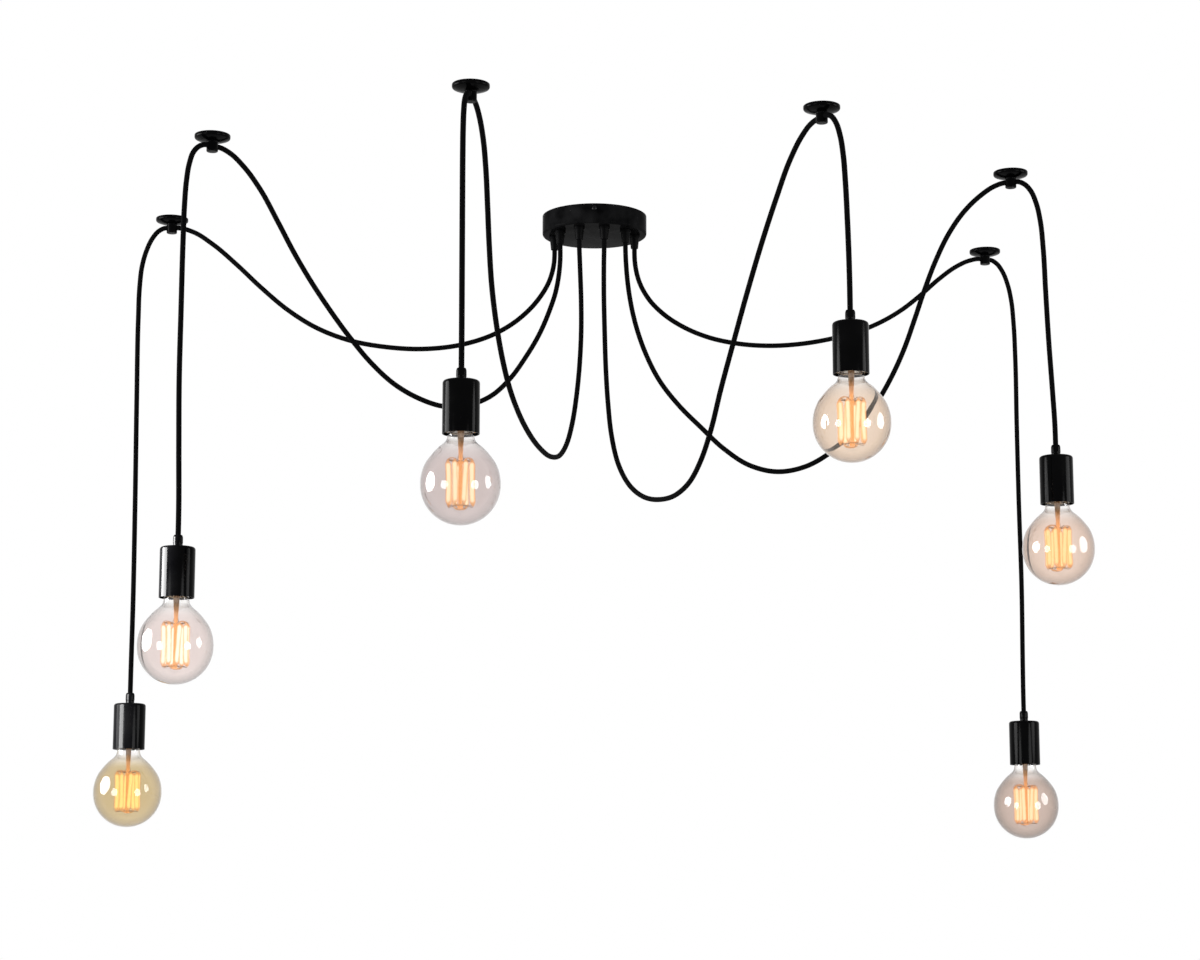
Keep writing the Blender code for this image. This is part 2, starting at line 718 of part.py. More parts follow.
# The drop's zero is the middle of the hook's cross hole.
def drop_path(arm):
    route = arm["drop"]
    wide = lamp_outset * arm["lamp_outset_share"] / route[-1][0]
    deep = lamp_drop * arm["lamp_drop_share"] / -route[-1][1]
    path = [(fit_gap / 2, 0.0), (hook_stem_diameter / 2 + cord_lead, 0.0)]
    path += [(x * wide, z * deep + hook_hole_drop) for x, z in route]
    return smooth_route(path)


def make_arm(i, arm, shared):
    name = arm["name"]
    grip = Vector(grip_place(i))
    reach = hook_circle_radius * arm["hook_reach_share"]
    angle = math.radians(arm["hook_angle_deg"])
    hook = Vector((reach * math.cos(angle), reach * math.sin(angle)))
    span = (hook - grip).length
    turn = math.atan2(hook.y - grip.y, hook.x - grip.x)

    place = (*grip, canopy_floor_z)
    add_object(f"{name}_canopy_grip", shared["grip"], black_plastic, place, turn)
    add_object(f"{name}_hook", shared["hook"], black_metal, (*hook, 0.0), turn)

    swag = swag_path(arm, span)
    path = [(x, 0.0, z) for x, z in swag]
    curve = tube_curve(f"{name}_swag_cord", path, cord_radius, 2, [1.0] * len(path))
    add_object(f"{name}_swag_cord", curve, black_cloth, (*grip, 0.0), turn)

    # The drop swings about the hook's cross hole. It ends in a dome in the holder's neck.
    swing = add_object(f"{name}_swing_pivot", None, None, (*hook, -hook_hole_drop), turn)
    drop = drop_path(arm)
    end_x, end_z = drop[-1]
    path = [(x, 0.0, z) for x, z in drop]
    shares = [1.0] * len(path)
    for degrees in cord_end_angles_deg:
        a = math.radians(degrees)
        path.append((end_x, 0.0, end_z - cord_radius * math.sin(a)))
        shares.append(math.cos(a))
    curve = tube_curve(f"{name}_drop_cord", path, cord_radius, 2, shares)
    add_object(f"{name}_drop_cord", curve, black_cloth, parent=swing)

    tilt = add_object(f"{name}_tilt_pivot", None, None, (end_x, 0.0, end_z), parent=swing)
    add_object(f"{name}_lamp_holder", shared["holder"], black_metal, parent=tilt)
    add_object(f"{name}_socket", shared["socket"], socket_plastic, parent=tilt)
    add_object(f"{name}_bulb_glass", shared["glass"], clear_glass, parent=tilt)
    add_object(f"{name}_bulb_base", shared["base"], plated_shell, parent=tilt)
    path, shares = filament_path()
    curve = tube_curve(f"{name}_bulb_filament", path, stem_diameter / 2, 1, shares)
    add_object(f"{name}_bulb_filament", curve, glowing_wire, parent=tilt)
    bpy.context.view_layer.update()
    lengths = (route_length(swag), route_length(drop))
    print(name, "swag", round(lengths[0], 4), "drop", round(lengths[1], 4),
          "both", round(sum(lengths), 4), "turn", round(math.degrees(turn), 3),
          "hook", [round(v, 6) for v in (*hook, -hook_hole_drop)],
          "tilt", [round(v, 6) for v in tilt.matrix_world.translation])


make_canopy_cover()
bracket_frame = add_object("bracket_frame", None, None, turn_z=math.radians(bracket_turn_deg))
make_ceiling_bracket()
make_screws()
make_terminal_block()

shared_meshes = {
    "grip": grip_mesh(),
    "hook": hook_mesh(),
    "holder": holder_mesh(),
    "socket": socket_mesh(),
    "glass": glass_mesh(),
    "base": base_mesh(),
}
for index, arm_entry in enumerate(arms):
    make_arm(index, arm_entry, shared_meshes)
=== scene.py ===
import math

import bmesh
import bpy
import numpy as np
from mathutils import Matrix, Vector


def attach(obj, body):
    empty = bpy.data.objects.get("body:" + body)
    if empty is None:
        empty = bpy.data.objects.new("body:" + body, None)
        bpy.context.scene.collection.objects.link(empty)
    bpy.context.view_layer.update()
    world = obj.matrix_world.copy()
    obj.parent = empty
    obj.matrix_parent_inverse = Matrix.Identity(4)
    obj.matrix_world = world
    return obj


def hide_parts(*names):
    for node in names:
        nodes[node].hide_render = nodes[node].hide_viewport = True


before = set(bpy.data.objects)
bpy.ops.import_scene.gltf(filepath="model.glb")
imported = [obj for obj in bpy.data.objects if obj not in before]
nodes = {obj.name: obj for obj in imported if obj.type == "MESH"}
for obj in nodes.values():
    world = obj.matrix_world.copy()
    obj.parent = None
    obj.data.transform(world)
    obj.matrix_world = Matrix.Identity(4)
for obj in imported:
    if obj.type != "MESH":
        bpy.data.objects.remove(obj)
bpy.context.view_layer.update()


# Shared shaping tools

def finishedMesh(work, name, sharpAngle):
    mesh = bpy.data.meshes.new(name)
    work.to_mesh(mesh)
    work.free()
    mesh.shade_smooth()
    mesh.set_sharp_from_angle(angle=math.radians(sharpAngle))
    return mesh


def cleanMesh(work, name, sharpAngle=35.0):
    bmesh.ops.remove_doubles(work, verts=work.verts, dist=1e-6)
    bmesh.ops.recalc_face_normals(work, faces=work.faces)
    return finishedMesh(work, name, sharpAngle)


def turnedWork(outline, segments, closed=False):
    # outline is (radius, height) points, turned about Z
    work = bmesh.new()
    points = [work.verts.new((r, 0.0, z)) for r, z in outline]
    edges = [work.edges.new(pair) for pair in zip(points, points[1:])]
    if closed:
        edges.append(work.edges.new((points[-1], points[0])))
    bmesh.ops.spin(work, geom=points + edges, cent=(0, 0, 0), axis=(0, 0, 1),
                   angle=2 * math.pi, steps=segments, use_merge=True)
    return work


def turnedMesh(name, outline, segments, sharpAngle, closed=False):
    return cleanMesh(turnedWork(outline, segments, closed), name, sharpAngle)


def roundedOutline(corners, steps):
    # each corner is (radius, height, rounding); a rounding of 0 stays sharp
    out = []
    for i, (r, z, size) in enumerate(corners):
        here = Vector((r, z))
        if not size or i in (0, len(corners) - 1):
            out.append((r, z))
            continue
        before = Vector(corners[i - 1][:2]) - here
        after = Vector(corners[i + 1][:2]) - here
        size = min(size, before.length * 0.49, after.length * 0.49)
        a = here + before.normalized() * size
        b = here + after.normalized() * size
        for k in range(steps + 1):
            t = k / steps
            p = a.lerp(here, t).lerp(here.lerp(b, t), t)
            out.append((p.x, p.y))
    return out


def runAlong(pts):
    # the length from the first point to each point, and the length of each step
    steps = np.linalg.norm(np.diff(pts, axis=0), axis=1)
    return np.concatenate(([0.0], np.cumsum(steps))), steps


def curveThrough(pts, slopes, steps, perSpan):
    # a smooth curve that passes each point with its slope; the last point is left to the caller
    fine = []
    for i in range(len(pts) - 1):
        for t in np.linspace(0, 1, perSpan, endpoint=False):
            fine.append((2 * t**3 - 3 * t**2 + 1) * pts[i] + (3 * t**2 - 2 * t**3) * pts[i + 1]
                        + (t**3 - 2 * t**2 + t) * slopes[i] * steps[i]
                        + (t**3 - t**2) * slopes[i + 1] * steps[i])
    return fine


def smoothLine(points, count):
    # a smooth line through the points, read off at even steps
    pts = np.array(points, float)
    place, steps = runAlong(pts)
    fine = np.array([*curveThrough(pts, np.gradient(pts, place, axis=0), steps, 16), pts[-1]])
    run, _ = runAlong(fine)
    marks = np.linspace(0, run[-1], count)
    return [Vector([np.interp(m, run, fine[:, k]) for k in range(fine.shape[1])]) for m in marks]


def sweepTube(name, path, radius, sides, shares=None):
    # a ring carried along the path; UV runs round in u and along in metres in v
    path = [Vector(p) for p in path]
    frames = []
    lastSide = None
    for i, p in enumerate(path):
        ahead = path[min(i + 1, len(path) - 1)] - path[max(i - 1, 0)]
        ahead.normalize()
        if lastSide is None:
            lastSide = ahead.orthogonal().normalized()
        side = (lastSide - ahead * lastSide.dot(ahead)).normalized()
        lastSide = side
        up = ahead.cross(side)
        turn = Matrix((side, up, ahead)).transposed().to_4x4()
        size = shares[i] if shares else 1.0
        frames.append(Matrix.Translation(p) @ turn @ Matrix.Diagonal((size, size, 1.0, 1.0)))
    work = bmesh.new()
    ringAt = work.verts.layers.int.new("ringAt")
    sideAt = work.verts.layers.int.new("sideAt")
    uvLayer = work.loops.layers.uv.new("UVMap")
    ring = bmesh.ops.create_circle(work, segments=sides, radius=radius, cap_ends=False)["verts"]
    for k, v in enumerate(ring):
        v[sideAt] = k
    startCap = work.faces.new(ring)
    bmesh.ops.transform(work, matrix=frames[0], verts=ring)
    edges = list(work.edges)
    for i in range(1, len(path)):
        grown = bmesh.ops.extrude_edge_only(work, edges=edges)["geom"]
        verts = [g for g in grown if isinstance(g, bmesh.types.BMVert)]
        edges = [g for g in grown if isinstance(g, bmesh.types.BMEdge)
                 and g.verts[0] in verts and g.verts[1] in verts]
        bmesh.ops.transform(work, matrix=frames[i] @ frames[i - 1].inverted(), verts=verts)
        for v in verts:
            v[ringAt] = i
    endCap = bmesh.ops.edgeloop_fill(work, edges=edges)["faces"]
    along = [0.0]
    for a, b in zip(path, path[1:]):
        along.append(along[-1] + (b - a).length)
    caps = {startCap, *endCap}
    for face in work.faces:
        wraps = max(v[sideAt] for v in face.verts) - min(v[sideAt] for v in face.verts) > sides / 2
        for loop in face.loops:
            u = loop.vert[sideAt] / sides
            if wraps and u < 0.5 and face not in caps:
                u += 1.0
            loop[uvLayer].uv = (u, along[loop.vert[ringAt]])
    bmesh.ops.recalc_face_normals(work, faces=work.faces)
    return finishedMesh(work, name, 60)


def addPiece(name, mesh, material, body, stands=()):
    piece = bpy.data.objects.new(name, mesh)
    bpy.context.scene.collection.objects.link(piece)
    mesh.materials.clear()
    mesh.materials.append(material)
    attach(piece, body)
    if stands:
        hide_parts(*stands)
    return piece


def addCopy(name, mesh, place, material, body, stands=()):
    # the same piece made from a copy of the mesh that is moved to its place
    copy = mesh.copy()
    copy.name = name
    copy.transform(place)
    addPiece(name, copy, material, body, stands)


def drill(radius, depth, place, sides=32):
    # a round cutter, along Z until it is placed
    work = bmesh.new()
    bmesh.ops.create_cone(work, cap_ends=True, segments=sides, radius1=radius, radius2=radius,
                          depth=depth)
    bmesh.ops.transform(work, matrix=place, verts=work.verts)
    return cleanMesh(work, "drill")


def cutAway(mesh, cutters, name):
    # boolean difference, applied
    stock = bpy.data.objects.new(name, mesh)
    bpy.context.scene.collection.objects.link(stock)
    tools = []
    for cutterMesh in cutters:
        tool = bpy.data.objects.new("cutTool", cutterMesh)
        bpy.context.scene.collection.objects.link(tool)
        tools.append(tool)
        bite = stock.modifiers.new("bite", "BOOLEAN")
        bite.operation = "DIFFERENCE"
        bite.solver = "EXACT"
        bite.object = tool
    bpy.context.view_layer.update()
    depsgraph = bpy.context.evaluated_depsgraph_get()
    left = bpy.data.meshes.new_from_object(stock.evaluated_get(depsgraph))
    for used in [stock, *tools]:
        bpy.data.objects.remove(used, do_unlink=True)
    left.shade_smooth()
    left.set_sharp_from_angle(angle=math.radians(35))
    return left


def softCopy(nodeName, bevelWidth):
    # a merged copy of a CAD node with its edges softened
    work = bmesh.new()
    work.from_mesh(nodes[nodeName].data)
    bmesh.ops.remove_doubles(work, verts=work.verts, dist=1e-6)
    bmesh.ops.dissolve_limit(work, angle_limit=math.radians(1.0), verts=work.verts,
                             edges=work.edges)
    sharp = [e for e in work.edges
             if len(e.link_faces) == 2 and e.calc_face_angle(0.0) > math.radians(35)]
    bmesh.ops.bevel(work, geom=sharp, offset=bevelWidth, affect="EDGES", segments=2,
                    profile=0.5, material=-1, clamp_overlap=True)
    return cleanMesh(work, nodeName + "_soft", 30)


# Materials

def newMaterial(name, color, roughness, metallic=0.0):
    material = bpy.data.materials.new(name)
    material.use_nodes = True
    shader = material.node_tree.nodes["Principled BSDF"]
    shader.inputs["Base Color"].default_value = (*color, 1.0)
    shader.inputs["Roughness"].default_value = roughness
    shader.inputs["Metallic"].default_value = metallic
    return material, material.node_tree, shader


def addNode(tree, kind, **sockets):
    node = tree.nodes.new(kind)
    for key, value in sockets.items():
        node.inputs[key].default_value = value
    return node


def noiseOn(tree, scale, detail, stretch=None):
    place = tree.nodes.new("ShaderNodeTexCoord").outputs["Object"]
    noise = addNode(tree, "ShaderNodeTexNoise", Scale=scale, Detail=detail)
    if stretch:
        mapping = addNode(tree, "ShaderNodeMapping", Scale=stretch)
        tree.links.new(place, mapping.inputs["Vector"])
        place = mapping.outputs["Vector"]
    tree.links.new(place, noise.inputs["Vector"])
    return noise.outputs["Fac"]


def splitOf(tree, vector):
    split = tree.nodes.new("ShaderNodeSeparateXYZ")
    tree.links.new(vector, split.inputs["Vector"])
    return split.outputs


def objectHeight(tree):
    return splitOf(tree, tree.nodes.new("ShaderNodeTexCoord").outputs["Object"])["Z"]


def ownUv(tree):
    # round the tube in X, along it in metres in Y
    uv = tree.nodes.new("ShaderNodeUVMap")
    uv.uv_map = "UVMap"
    return splitOf(tree, uv.outputs["UV"])


def worked(tree, operation, *values):
    # one step of arithmetic on sockets and plain numbers
    node = tree.nodes.new("ShaderNodeMath")
    node.operation = operation
    for k, value in enumerate(values):
        if isinstance(value, (int, float)):
            node.inputs[k].default_value = value
        else:
            tree.links.new(value, node.inputs[k])
    return node.outputs[0]


def spreadValue(tree, source, low, high, lowIn=0.3, highIn=0.7):
    # low where the source is at lowIn, high where it is at highIn
    ramp = addNode(tree, "ShaderNodeMapRange")
    for key, value in zip(("From Min", "From Max", "To Min", "To Max"), (lowIn, highIn, low, high)):
        ramp.inputs[key].default_value = value
    tree.links.new(source, ramp.inputs["Value"])
    return ramp.outputs["Result"]


def addBump(tree, shader, source, strength, distance):
    bump = addNode(tree, "ShaderNodeBump", Strength=strength, Distance=distance)
    tree.links.new(source, bump.inputs["Height"])
    tree.links.new(bump.outputs["Normal"], shader.inputs["Normal"])


def mixedColor(tree, amount, first, second):
    # the first where the amount is 0, the second where it is 1; each is a colour or a socket
    mix = tree.nodes.new("ShaderNodeMix")
    mix.data_type = "RGBA"
    for key, color in (("A", first), ("B", second)):
        if isinstance(color, tuple):
            mix.inputs[key].default_value = (*color, 1.0)
        else:
            tree.links.new(color, mix.inputs[key])
    tree.links.new(amount, mix.inputs["Factor"])
    return mix.outputs["Result"]


def tintBetween(tree, shader, source, dark, light, socket="Base Color"):
    tree.links.new(mixedColor(tree, source, dark, light), shader.inputs[socket])


def driveBy(tree, shader, socket, source, low, high, lowIn=0.3, highIn=0.7):
    tree.links.new(spreadValue(tree, source, low, high, lowIn, highIn), shader.inputs[socket])


def powderBlack(name, roughness, gloss, dark=(0.0003, 0.0003, 0.0004),
                pale=(0.0009, 0.0009, 0.0010)):
    # black powder coat: fine orange peel, a little dust-grey breakup
    material, tree, shader = newMaterial(name, (0.0006, 0.0006, 0.0007), roughness)
    shader.inputs["Specular IOR Level"].default_value = gloss
    peel = noiseOn(tree, 950.0, 2.0)
    cloud = noiseOn(tree, 38.0, 4.0)
    driveBy(tree, shader, "Roughness", cloud, roughness - 0.05, roughness + 0.07)
    tintBetween(tree, shader, spreadValue(tree, cloud, 0.0, 1.0), dark, pale)
    addBump(tree, shader, peel, 0.14, 0.0002)
    return material


def mouldedBlack(name):
    # black nylon with the dull grain of a mould
    material, tree, shader = newMaterial(name, (0.0007, 0.0007, 0.0008), 0.46)
    shader.inputs["Specular IOR Level"].default_value = 0.02
    grain = noiseOn(tree, 1700.0, 2.0)
    cloud = noiseOn(tree, 90.0, 3.0)
    driveBy(tree, shader, "Roughness", cloud, 0.40, 0.54)
    addBump(tree, shader, grain, 0.18, 0.00012)
    return material


braid = {"strands": 12, "pitch": 0.00165, "height": 0.0004, "yarn": (0.0004, 0.0004, 0.0005),
         "worn": (0.0020, 0.0020, 0.0022)}


def braidedCloth(name):
    # two sets of yarns crossing at 45 degrees, read from the cord's own UV
    material, tree, shader = newMaterial(name, braid["yarn"], 0.82)
    shader.inputs["Specular IOR Level"].default_value = 0.02
    shader.inputs["Sheen Weight"].default_value = 0.003
    shader.inputs["Sheen Roughness"].default_value = 0.5
    uv = ownUv(tree)
    around = worked(tree, "MULTIPLY", uv["X"], math.pi * braid["strands"])
    along = worked(tree, "MULTIPLY", uv["Y"], math.pi / braid["pitch"])
    left = worked(tree, "SINE", worked(tree, "ADD", around, along))
    right = worked(tree, "SINE", worked(tree, "SUBTRACT", around, along))
    ridge = worked(tree, "MAXIMUM", worked(tree, "ABSOLUTE", left), worked(tree, "ABSOLUTE", right))
    over = worked(tree, "MULTIPLY", left, right)
    height = worked(tree, "ADD", ridge, worked(tree, "MULTIPLY", over, 0.35))
    fuzz = noiseOn(tree, 2600.0, 2.0)
    total = worked(tree, "ADD", height, worked(tree, "MULTIPLY", fuzz, 0.35))
    wear = spreadValue(tree, total, 0.0, 1.0, 0.7, 1.5)
    tintBetween(tree, shader, wear, braid["yarn"], braid["worn"])
    addBump(tree, shader, total, 0.55, braid["height"])
    return material


def brushedMetal(name, color, roughness, stretch=(12.0, 900.0, 900.0), bump=0.08):
    material, tree, shader = newMaterial(name, color, roughness, 1.0)
    lines = noiseOn(tree, 1.0, 3.0, stretch)
    spots = noiseOn(tree, 55.0, 4.0)
    driveBy(tree, shader, "Roughness", spots, roughness - 0.07, roughness + 0.10)
    dull = tuple(c * 0.80 for c in color)
    tintBetween(tree, shader, spreadValue(tree, spots, 0.0, 1.0), dull, color)
    addBump(tree, shader, lines, bump, 0.0002)
    return material


def mouldedPale(name, color, roughness):
    material, tree, shader = newMaterial(name, color, roughness)
    shader.inputs["Subsurface Weight"].default_value = 0.08
    shader.inputs["Subsurface Radius"].default_value = (0.002, 0.0015, 0.001)
    cloud = noiseOn(tree, 60.0, 4.0)
    grain = noiseOn(tree, 1300.0, 2.0)
    dull = tuple(c * 0.92 for c in color)
    tintBetween(tree, shader, spreadValue(tree, cloud, 0.0, 1.0), dull, color)
    addBump(tree, shader, grain, 0.10, 0.0001)
    return material


def blownGlass(name, face, rim, edge, clearAbove):
    # warm where it is faced, clearer beside that, dark at its very edge, and clear in the neck
    material, tree, shader = newMaterial(name, face, 0.01)
    shader.inputs["Transmission Weight"].default_value = 1.0
    shader.inputs["IOR"].default_value = 1.46
    grazing = addNode(tree, "ShaderNodeLayerWeight", Blend=0.28).outputs["Facing"]
    tint = mixedColor(tree, spreadValue(tree, grazing, 0.0, 1.0, 0.06, 0.22), face, rim)
    inNeck = spreadValue(tree, objectHeight(tree), 0.0, 1.0, clearAbove - 0.014, clearAbove + 0.004)
    tint = mixedColor(tree, inNeck, tint, (0.97, 0.96, 0.95))
    tint = mixedColor(tree, spreadValue(tree, grazing, 0.0, 1.0, 0.20, 0.55), tint, edge)
    tree.links.new(tint, shader.inputs["Base Color"])
    ripple = noiseOn(tree, 22.0, 2.0, (1.0, 1.0, 0.45))
    addBump(tree, shader, ripple, 0.006, 0.0004)
    haze = noiseOn(tree, 160.0, 4.0)
    driveBy(tree, shader, "Roughness", haze, 0.008, 0.016)
    return material


def glowing(name, core, side, strength, low, high):
    # a filament that glows: nearly white along its middle, orange at its sides, duller at its ends
    material, tree, shader = newMaterial(name, (0.02, 0.008, 0.003), 0.8)
    shader.inputs["Specular IOR Level"].default_value = 0.0
    facing = addNode(tree, "ShaderNodeLayerWeight", Blend=0.78).outputs["Facing"]
    patches = noiseOn(tree, 60.0, 3.0)
    height = objectHeight(tree)
    cool = worked(tree, "MAXIMUM", spreadValue(tree, height, 1.0, 0.0, low, low + 0.007),
                  spreadValue(tree, height, 1.0, 0.0, high, high - 0.007))
    uneven = worked(tree, "MULTIPLY_ADD", patches, 0.6, facing)
    uneven = worked(tree, "MULTIPLY_ADD", cool, 0.45, uneven)
    uneven = spreadValue(tree, uneven, 0.0, 1.0, 0.42, 0.95)
    tintBetween(tree, shader, uneven, core, side, "Emission Color")
    driveBy(tree, shader, "Emission Strength", cool, strength, strength * 0.55, 0.0, 1.0)
    driveBy(tree, shader, "Alpha", facing, 1.0, 0.0, 0.10, 0.95)
    return material


def glassStemWithPaintedGlow(name, dull, lit, strength):
    # drawn glass, brown with soot at the mouth, with a painted orange glow where it stands inside
    # the cage: the glass gives off its own light there in place of the filament's light on it
    material, tree, shader = newMaterial(name, dull, 0.3)
    shader.inputs["Emission Color"].default_value = (*lit, 1.0)
    soot = noiseOn(tree, 240.0, 3.0)
    tintBetween(tree, shader, spreadValue(tree, soot, 0.0, 1.0), tuple(c * 0.7 for c in dull), dull)
    # painted glow: the stem's own orange light, faint at its top and full inside the cage
    driveBy(tree, shader, "Emission Strength", ownUv(tree)["Y"], 0.04, strength, 0.010, 0.032)
    addBump(tree, shader, soot, 0.1, 0.0002)
    return material


canopyPaint = powderBlack("canopyPaint", 0.12, 0.002, (0.0005, 0.0005, 0.0006),
                          (0.0065, 0.0065, 0.0068))
hookPaint = powderBlack("hookPaint", 0.17, 0.020)
holderPaint = powderBlack("holderPaint", 0.11, 0.026)
gripNylon = mouldedBlack("gripNylon")
cordCloth = braidedCloth("cordCloth")
bracketZinc = brushedMetal("bracketZinc", (0.62, 0.62, 0.60), 0.34)
screwBlack = powderBlack("screwBlack", 0.36, 0.10)
brassTurned = brushedMetal("brassTurned", (0.78, 0.58, 0.27), 0.28, (900.0, 900.0, 14.0))
shellNickel = brushedMetal("shellNickel", (0.70, 0.67, 0.60), 0.24, (900.0, 900.0, 10.0), 0.05)
socketTan = mouldedPale("socketTan", (0.50, 0.39, 0.24), 0.38)
terminalNylon = mouldedPale("terminalNylon", (0.84, 0.83, 0.80), 0.42)
insulatorGlass = mouldedBlack("insulatorGlass")
# the stem's orange glow is painted light on glass that is no lamp
stemGlass = glassStemWithPaintedGlow("stemGlass", (0.26, 0.17, 0.10), (0.98, 0.40, 0.10), 0.95)
supportWire = brushedMetal("supportWire", (0.46, 0.34, 0.24), 0.35)
print("materials")


# Where things are, as in the part's source

layout = {"hookCircle": 0.622, "gripCircle": 0.058, "gripStart": 176.0, "gripStep": 36.0,
          "canopyFloor": -0.029, "gripLength": 0.020, "nippleTop": 0.0054, "holeDrop": 0.0145,
          "stemRadius": 0.0075, "cordDiameter": 0.0070, "cordLead": 0.001}

arms = {
    "far_left": {
        "hookAngle": 179.1, "hookReach": 0.989,
        "swag": [
            (0.001, -0.07), (0.008, -0.096), (0.024, -0.123), (0.05, -0.15), (0.086, -0.173),
            (0.13, -0.188), (0.186, -0.195), (0.244, -0.192), (0.3, -0.181), (0.345, -0.163),
            (0.386, -0.137), (0.425, -0.104), (0.462, -0.069), (0.497, -0.039), (0.526, -0.0205),
            (0.5568, -0.0145)],
        "drop": [
            (0.019, -0.019), (0.028, -0.03), (0.036, -0.048), (0.042, -0.072), (0.0445, -0.1),
            (0.0452, -0.15), (0.044, -0.27), (0.042, -0.42), (0.0408, -0.56), (0.041, -0.66),
            (0.041, -0.6909)]},
    "mid_left": {
        "hookAngle": 219.3, "hookReach": 1.029,
        "swag": [
            (0.0, -0.072), (0.002, -0.092), (0.008, -0.12), (0.02, -0.151), (0.038, -0.187),
            (0.062, -0.223), (0.09, -0.258), (0.122, -0.286), (0.16, -0.304), (0.205, -0.312),
            (0.248, -0.306), (0.29, -0.291), (0.328, -0.267), (0.364, -0.236), (0.396, -0.204),
            (0.424, -0.173), (0.452, -0.138), (0.48, -0.098), (0.508, -0.0595), (0.534, -0.0335),
            (0.555, -0.0195), (0.5826, -0.0145)],
        "drop": [
            (0.019, -0.0183), (0.0274, -0.0272), (0.0334, -0.044), (0.0372, -0.069), (0.039, -0.1),
            (0.0398, -0.15), (0.04, -0.24), (0.04, -0.33), (0.0378, -0.42), (0.0357, -0.495),
            (0.0355, -0.5277)]},
    "front_left": {
        "hookAngle": 256.4, "hookReach": 1.021,
        "swag": [
            (-0.005, -0.085), (-0.012, -0.13), (-0.013, -0.18), (-0.004, -0.228), (0.014, -0.276),
            (0.039, -0.32), (0.072, -0.356), (0.113, -0.38), (0.165, -0.391), (0.225, -0.39),
            (0.286, -0.38), (0.342, -0.362), (0.389, -0.337), (0.426, -0.304), (0.454, -0.267),
            (0.475, -0.226), (0.488, -0.178), (0.497, -0.13), (0.506, -0.087), (0.519, -0.053),
            (0.537, -0.03), (0.554, -0.0185), (0.578, -0.0145)],
        "drop": [
            (0.0185, -0.0181), (0.026, -0.0265), (0.0306, -0.042), (0.0328, -0.065), (0.0335, -0.1),
            (0.033, -0.16), (0.032, -0.24), (0.031, -0.33), (0.031, -0.359)]},
    "front_right": {
        "hookAngle": 298.3, "hookReach": 0.968,
        "swag": [
            (-0.001, -0.085), (-0.001, -0.13), (0.001, -0.18), (0.004, -0.232), (0.01, -0.285),
            (0.02, -0.335), (0.038, -0.378), (0.066, -0.411), (0.104, -0.434), (0.15, -0.445),
            (0.194, -0.444), (0.229, -0.431), (0.257, -0.406), (0.281, -0.371), (0.306, -0.321),
            (0.338, -0.263), (0.372, -0.203), (0.408, -0.144), (0.442, -0.094), (0.473, -0.053),
            (0.5, -0.0285), (0.52, -0.0175), (0.546, -0.0145)],
        "drop": [
            (0.02, -0.0185), (0.0305, -0.03), (0.039, -0.049), (0.045, -0.076), (0.0485, -0.11),
            (0.0515, -0.16), (0.0535, -0.21), (0.0542, -0.25), (0.0542, -0.2724)]},
    "mid_right": {
        "hookAngle": 337.7, "hookReach": 0.987,
        "swag": [
            (0.001, -0.08), (0.005, -0.12), (0.014, -0.165), (0.029, -0.21), (0.051, -0.254),
            (0.08, -0.292), (0.112, -0.325), (0.146, -0.358), (0.184, -0.384), (0.224, -0.395),
            (0.264, -0.39), (0.302, -0.371), (0.338, -0.34), (0.367, -0.306), (0.388, -0.272),
            (0.406, -0.235), (0.421, -0.196), (0.436, -0.155), (0.453, -0.114), (0.472, -0.078),
            (0.494, -0.049), (0.517, -0.029), (0.536, -0.018), (0.5592, -0.0145)],
        "drop": [
            (0.0185, -0.0188), (0.027, -0.029), (0.034, -0.047), (0.039, -0.073), (0.0418, -0.11),
            (0.0435, -0.17), (0.0458, -0.24), (0.049, -0.31), (0.0508, -0.355), (0.051, -0.3812)]},
    "far_right": {
        "hookAngle": 18.2, "hookReach": 1.008,
        "swag": [
            (0.001, -0.072), (0.008, -0.099), (0.023, -0.123), (0.046, -0.143), (0.076, -0.159),
            (0.114, -0.171), (0.16, -0.177), (0.212, -0.1765), (0.262, -0.17), (0.31, -0.159),
            (0.354, -0.145), (0.394, -0.127), (0.43, -0.105), (0.463, -0.079), (0.494, -0.052),
            (0.524, -0.03), (0.546, -0.019), (0.5739, -0.0145)],
        "drop": [
            (0.0195, -0.019), (0.029, -0.03), (0.0375, -0.049), (0.0435, -0.075), (0.0465, -0.11),
            (0.048, -0.17), (0.0475, -0.26), (0.0475, -0.38), (0.0485, -0.52), (0.047, -0.63),
            (0.0465, -0.68), (0.0465, -0.7016)]},
}

for index, (armName, arm) in enumerate(arms.items()):
    gripAngle = math.radians(layout["gripStart"] + index * layout["gripStep"])
    arm["grip"] = Vector((math.cos(gripAngle), math.sin(gripAngle), 0)) * layout["gripCircle"]
    hookAngle = math.radians(arm["hookAngle"])
    reach = layout["hookCircle"] * arm["hookReach"]
    arm["hook"] = Vector((math.cos(hookAngle), math.sin(hookAngle), 0)) * reach
    out = arm["hook"] - arm["grip"]
    arm["span"] = out.length
    arm["turn"] = math.atan2(out.y, out.x)
    arm["outward"] = out.normalized()
    endX, endZ = arm["drop"][-1]
    arm["lampTop"] = arm["hook"] + arm["outward"] * endX + Vector((0, 0, endZ))


def armPlace(arm, at):
    # turns +X to the arm's outward direction and moves the piece to its place
    return Matrix.Translation(at) @ Matrix.Rotation(arm["turn"], 4, "Z")


# Cords

cordShape = {"sides": 20, "step": 0.0035, "inGrip": 0.001, "inHolder": 0.0026}


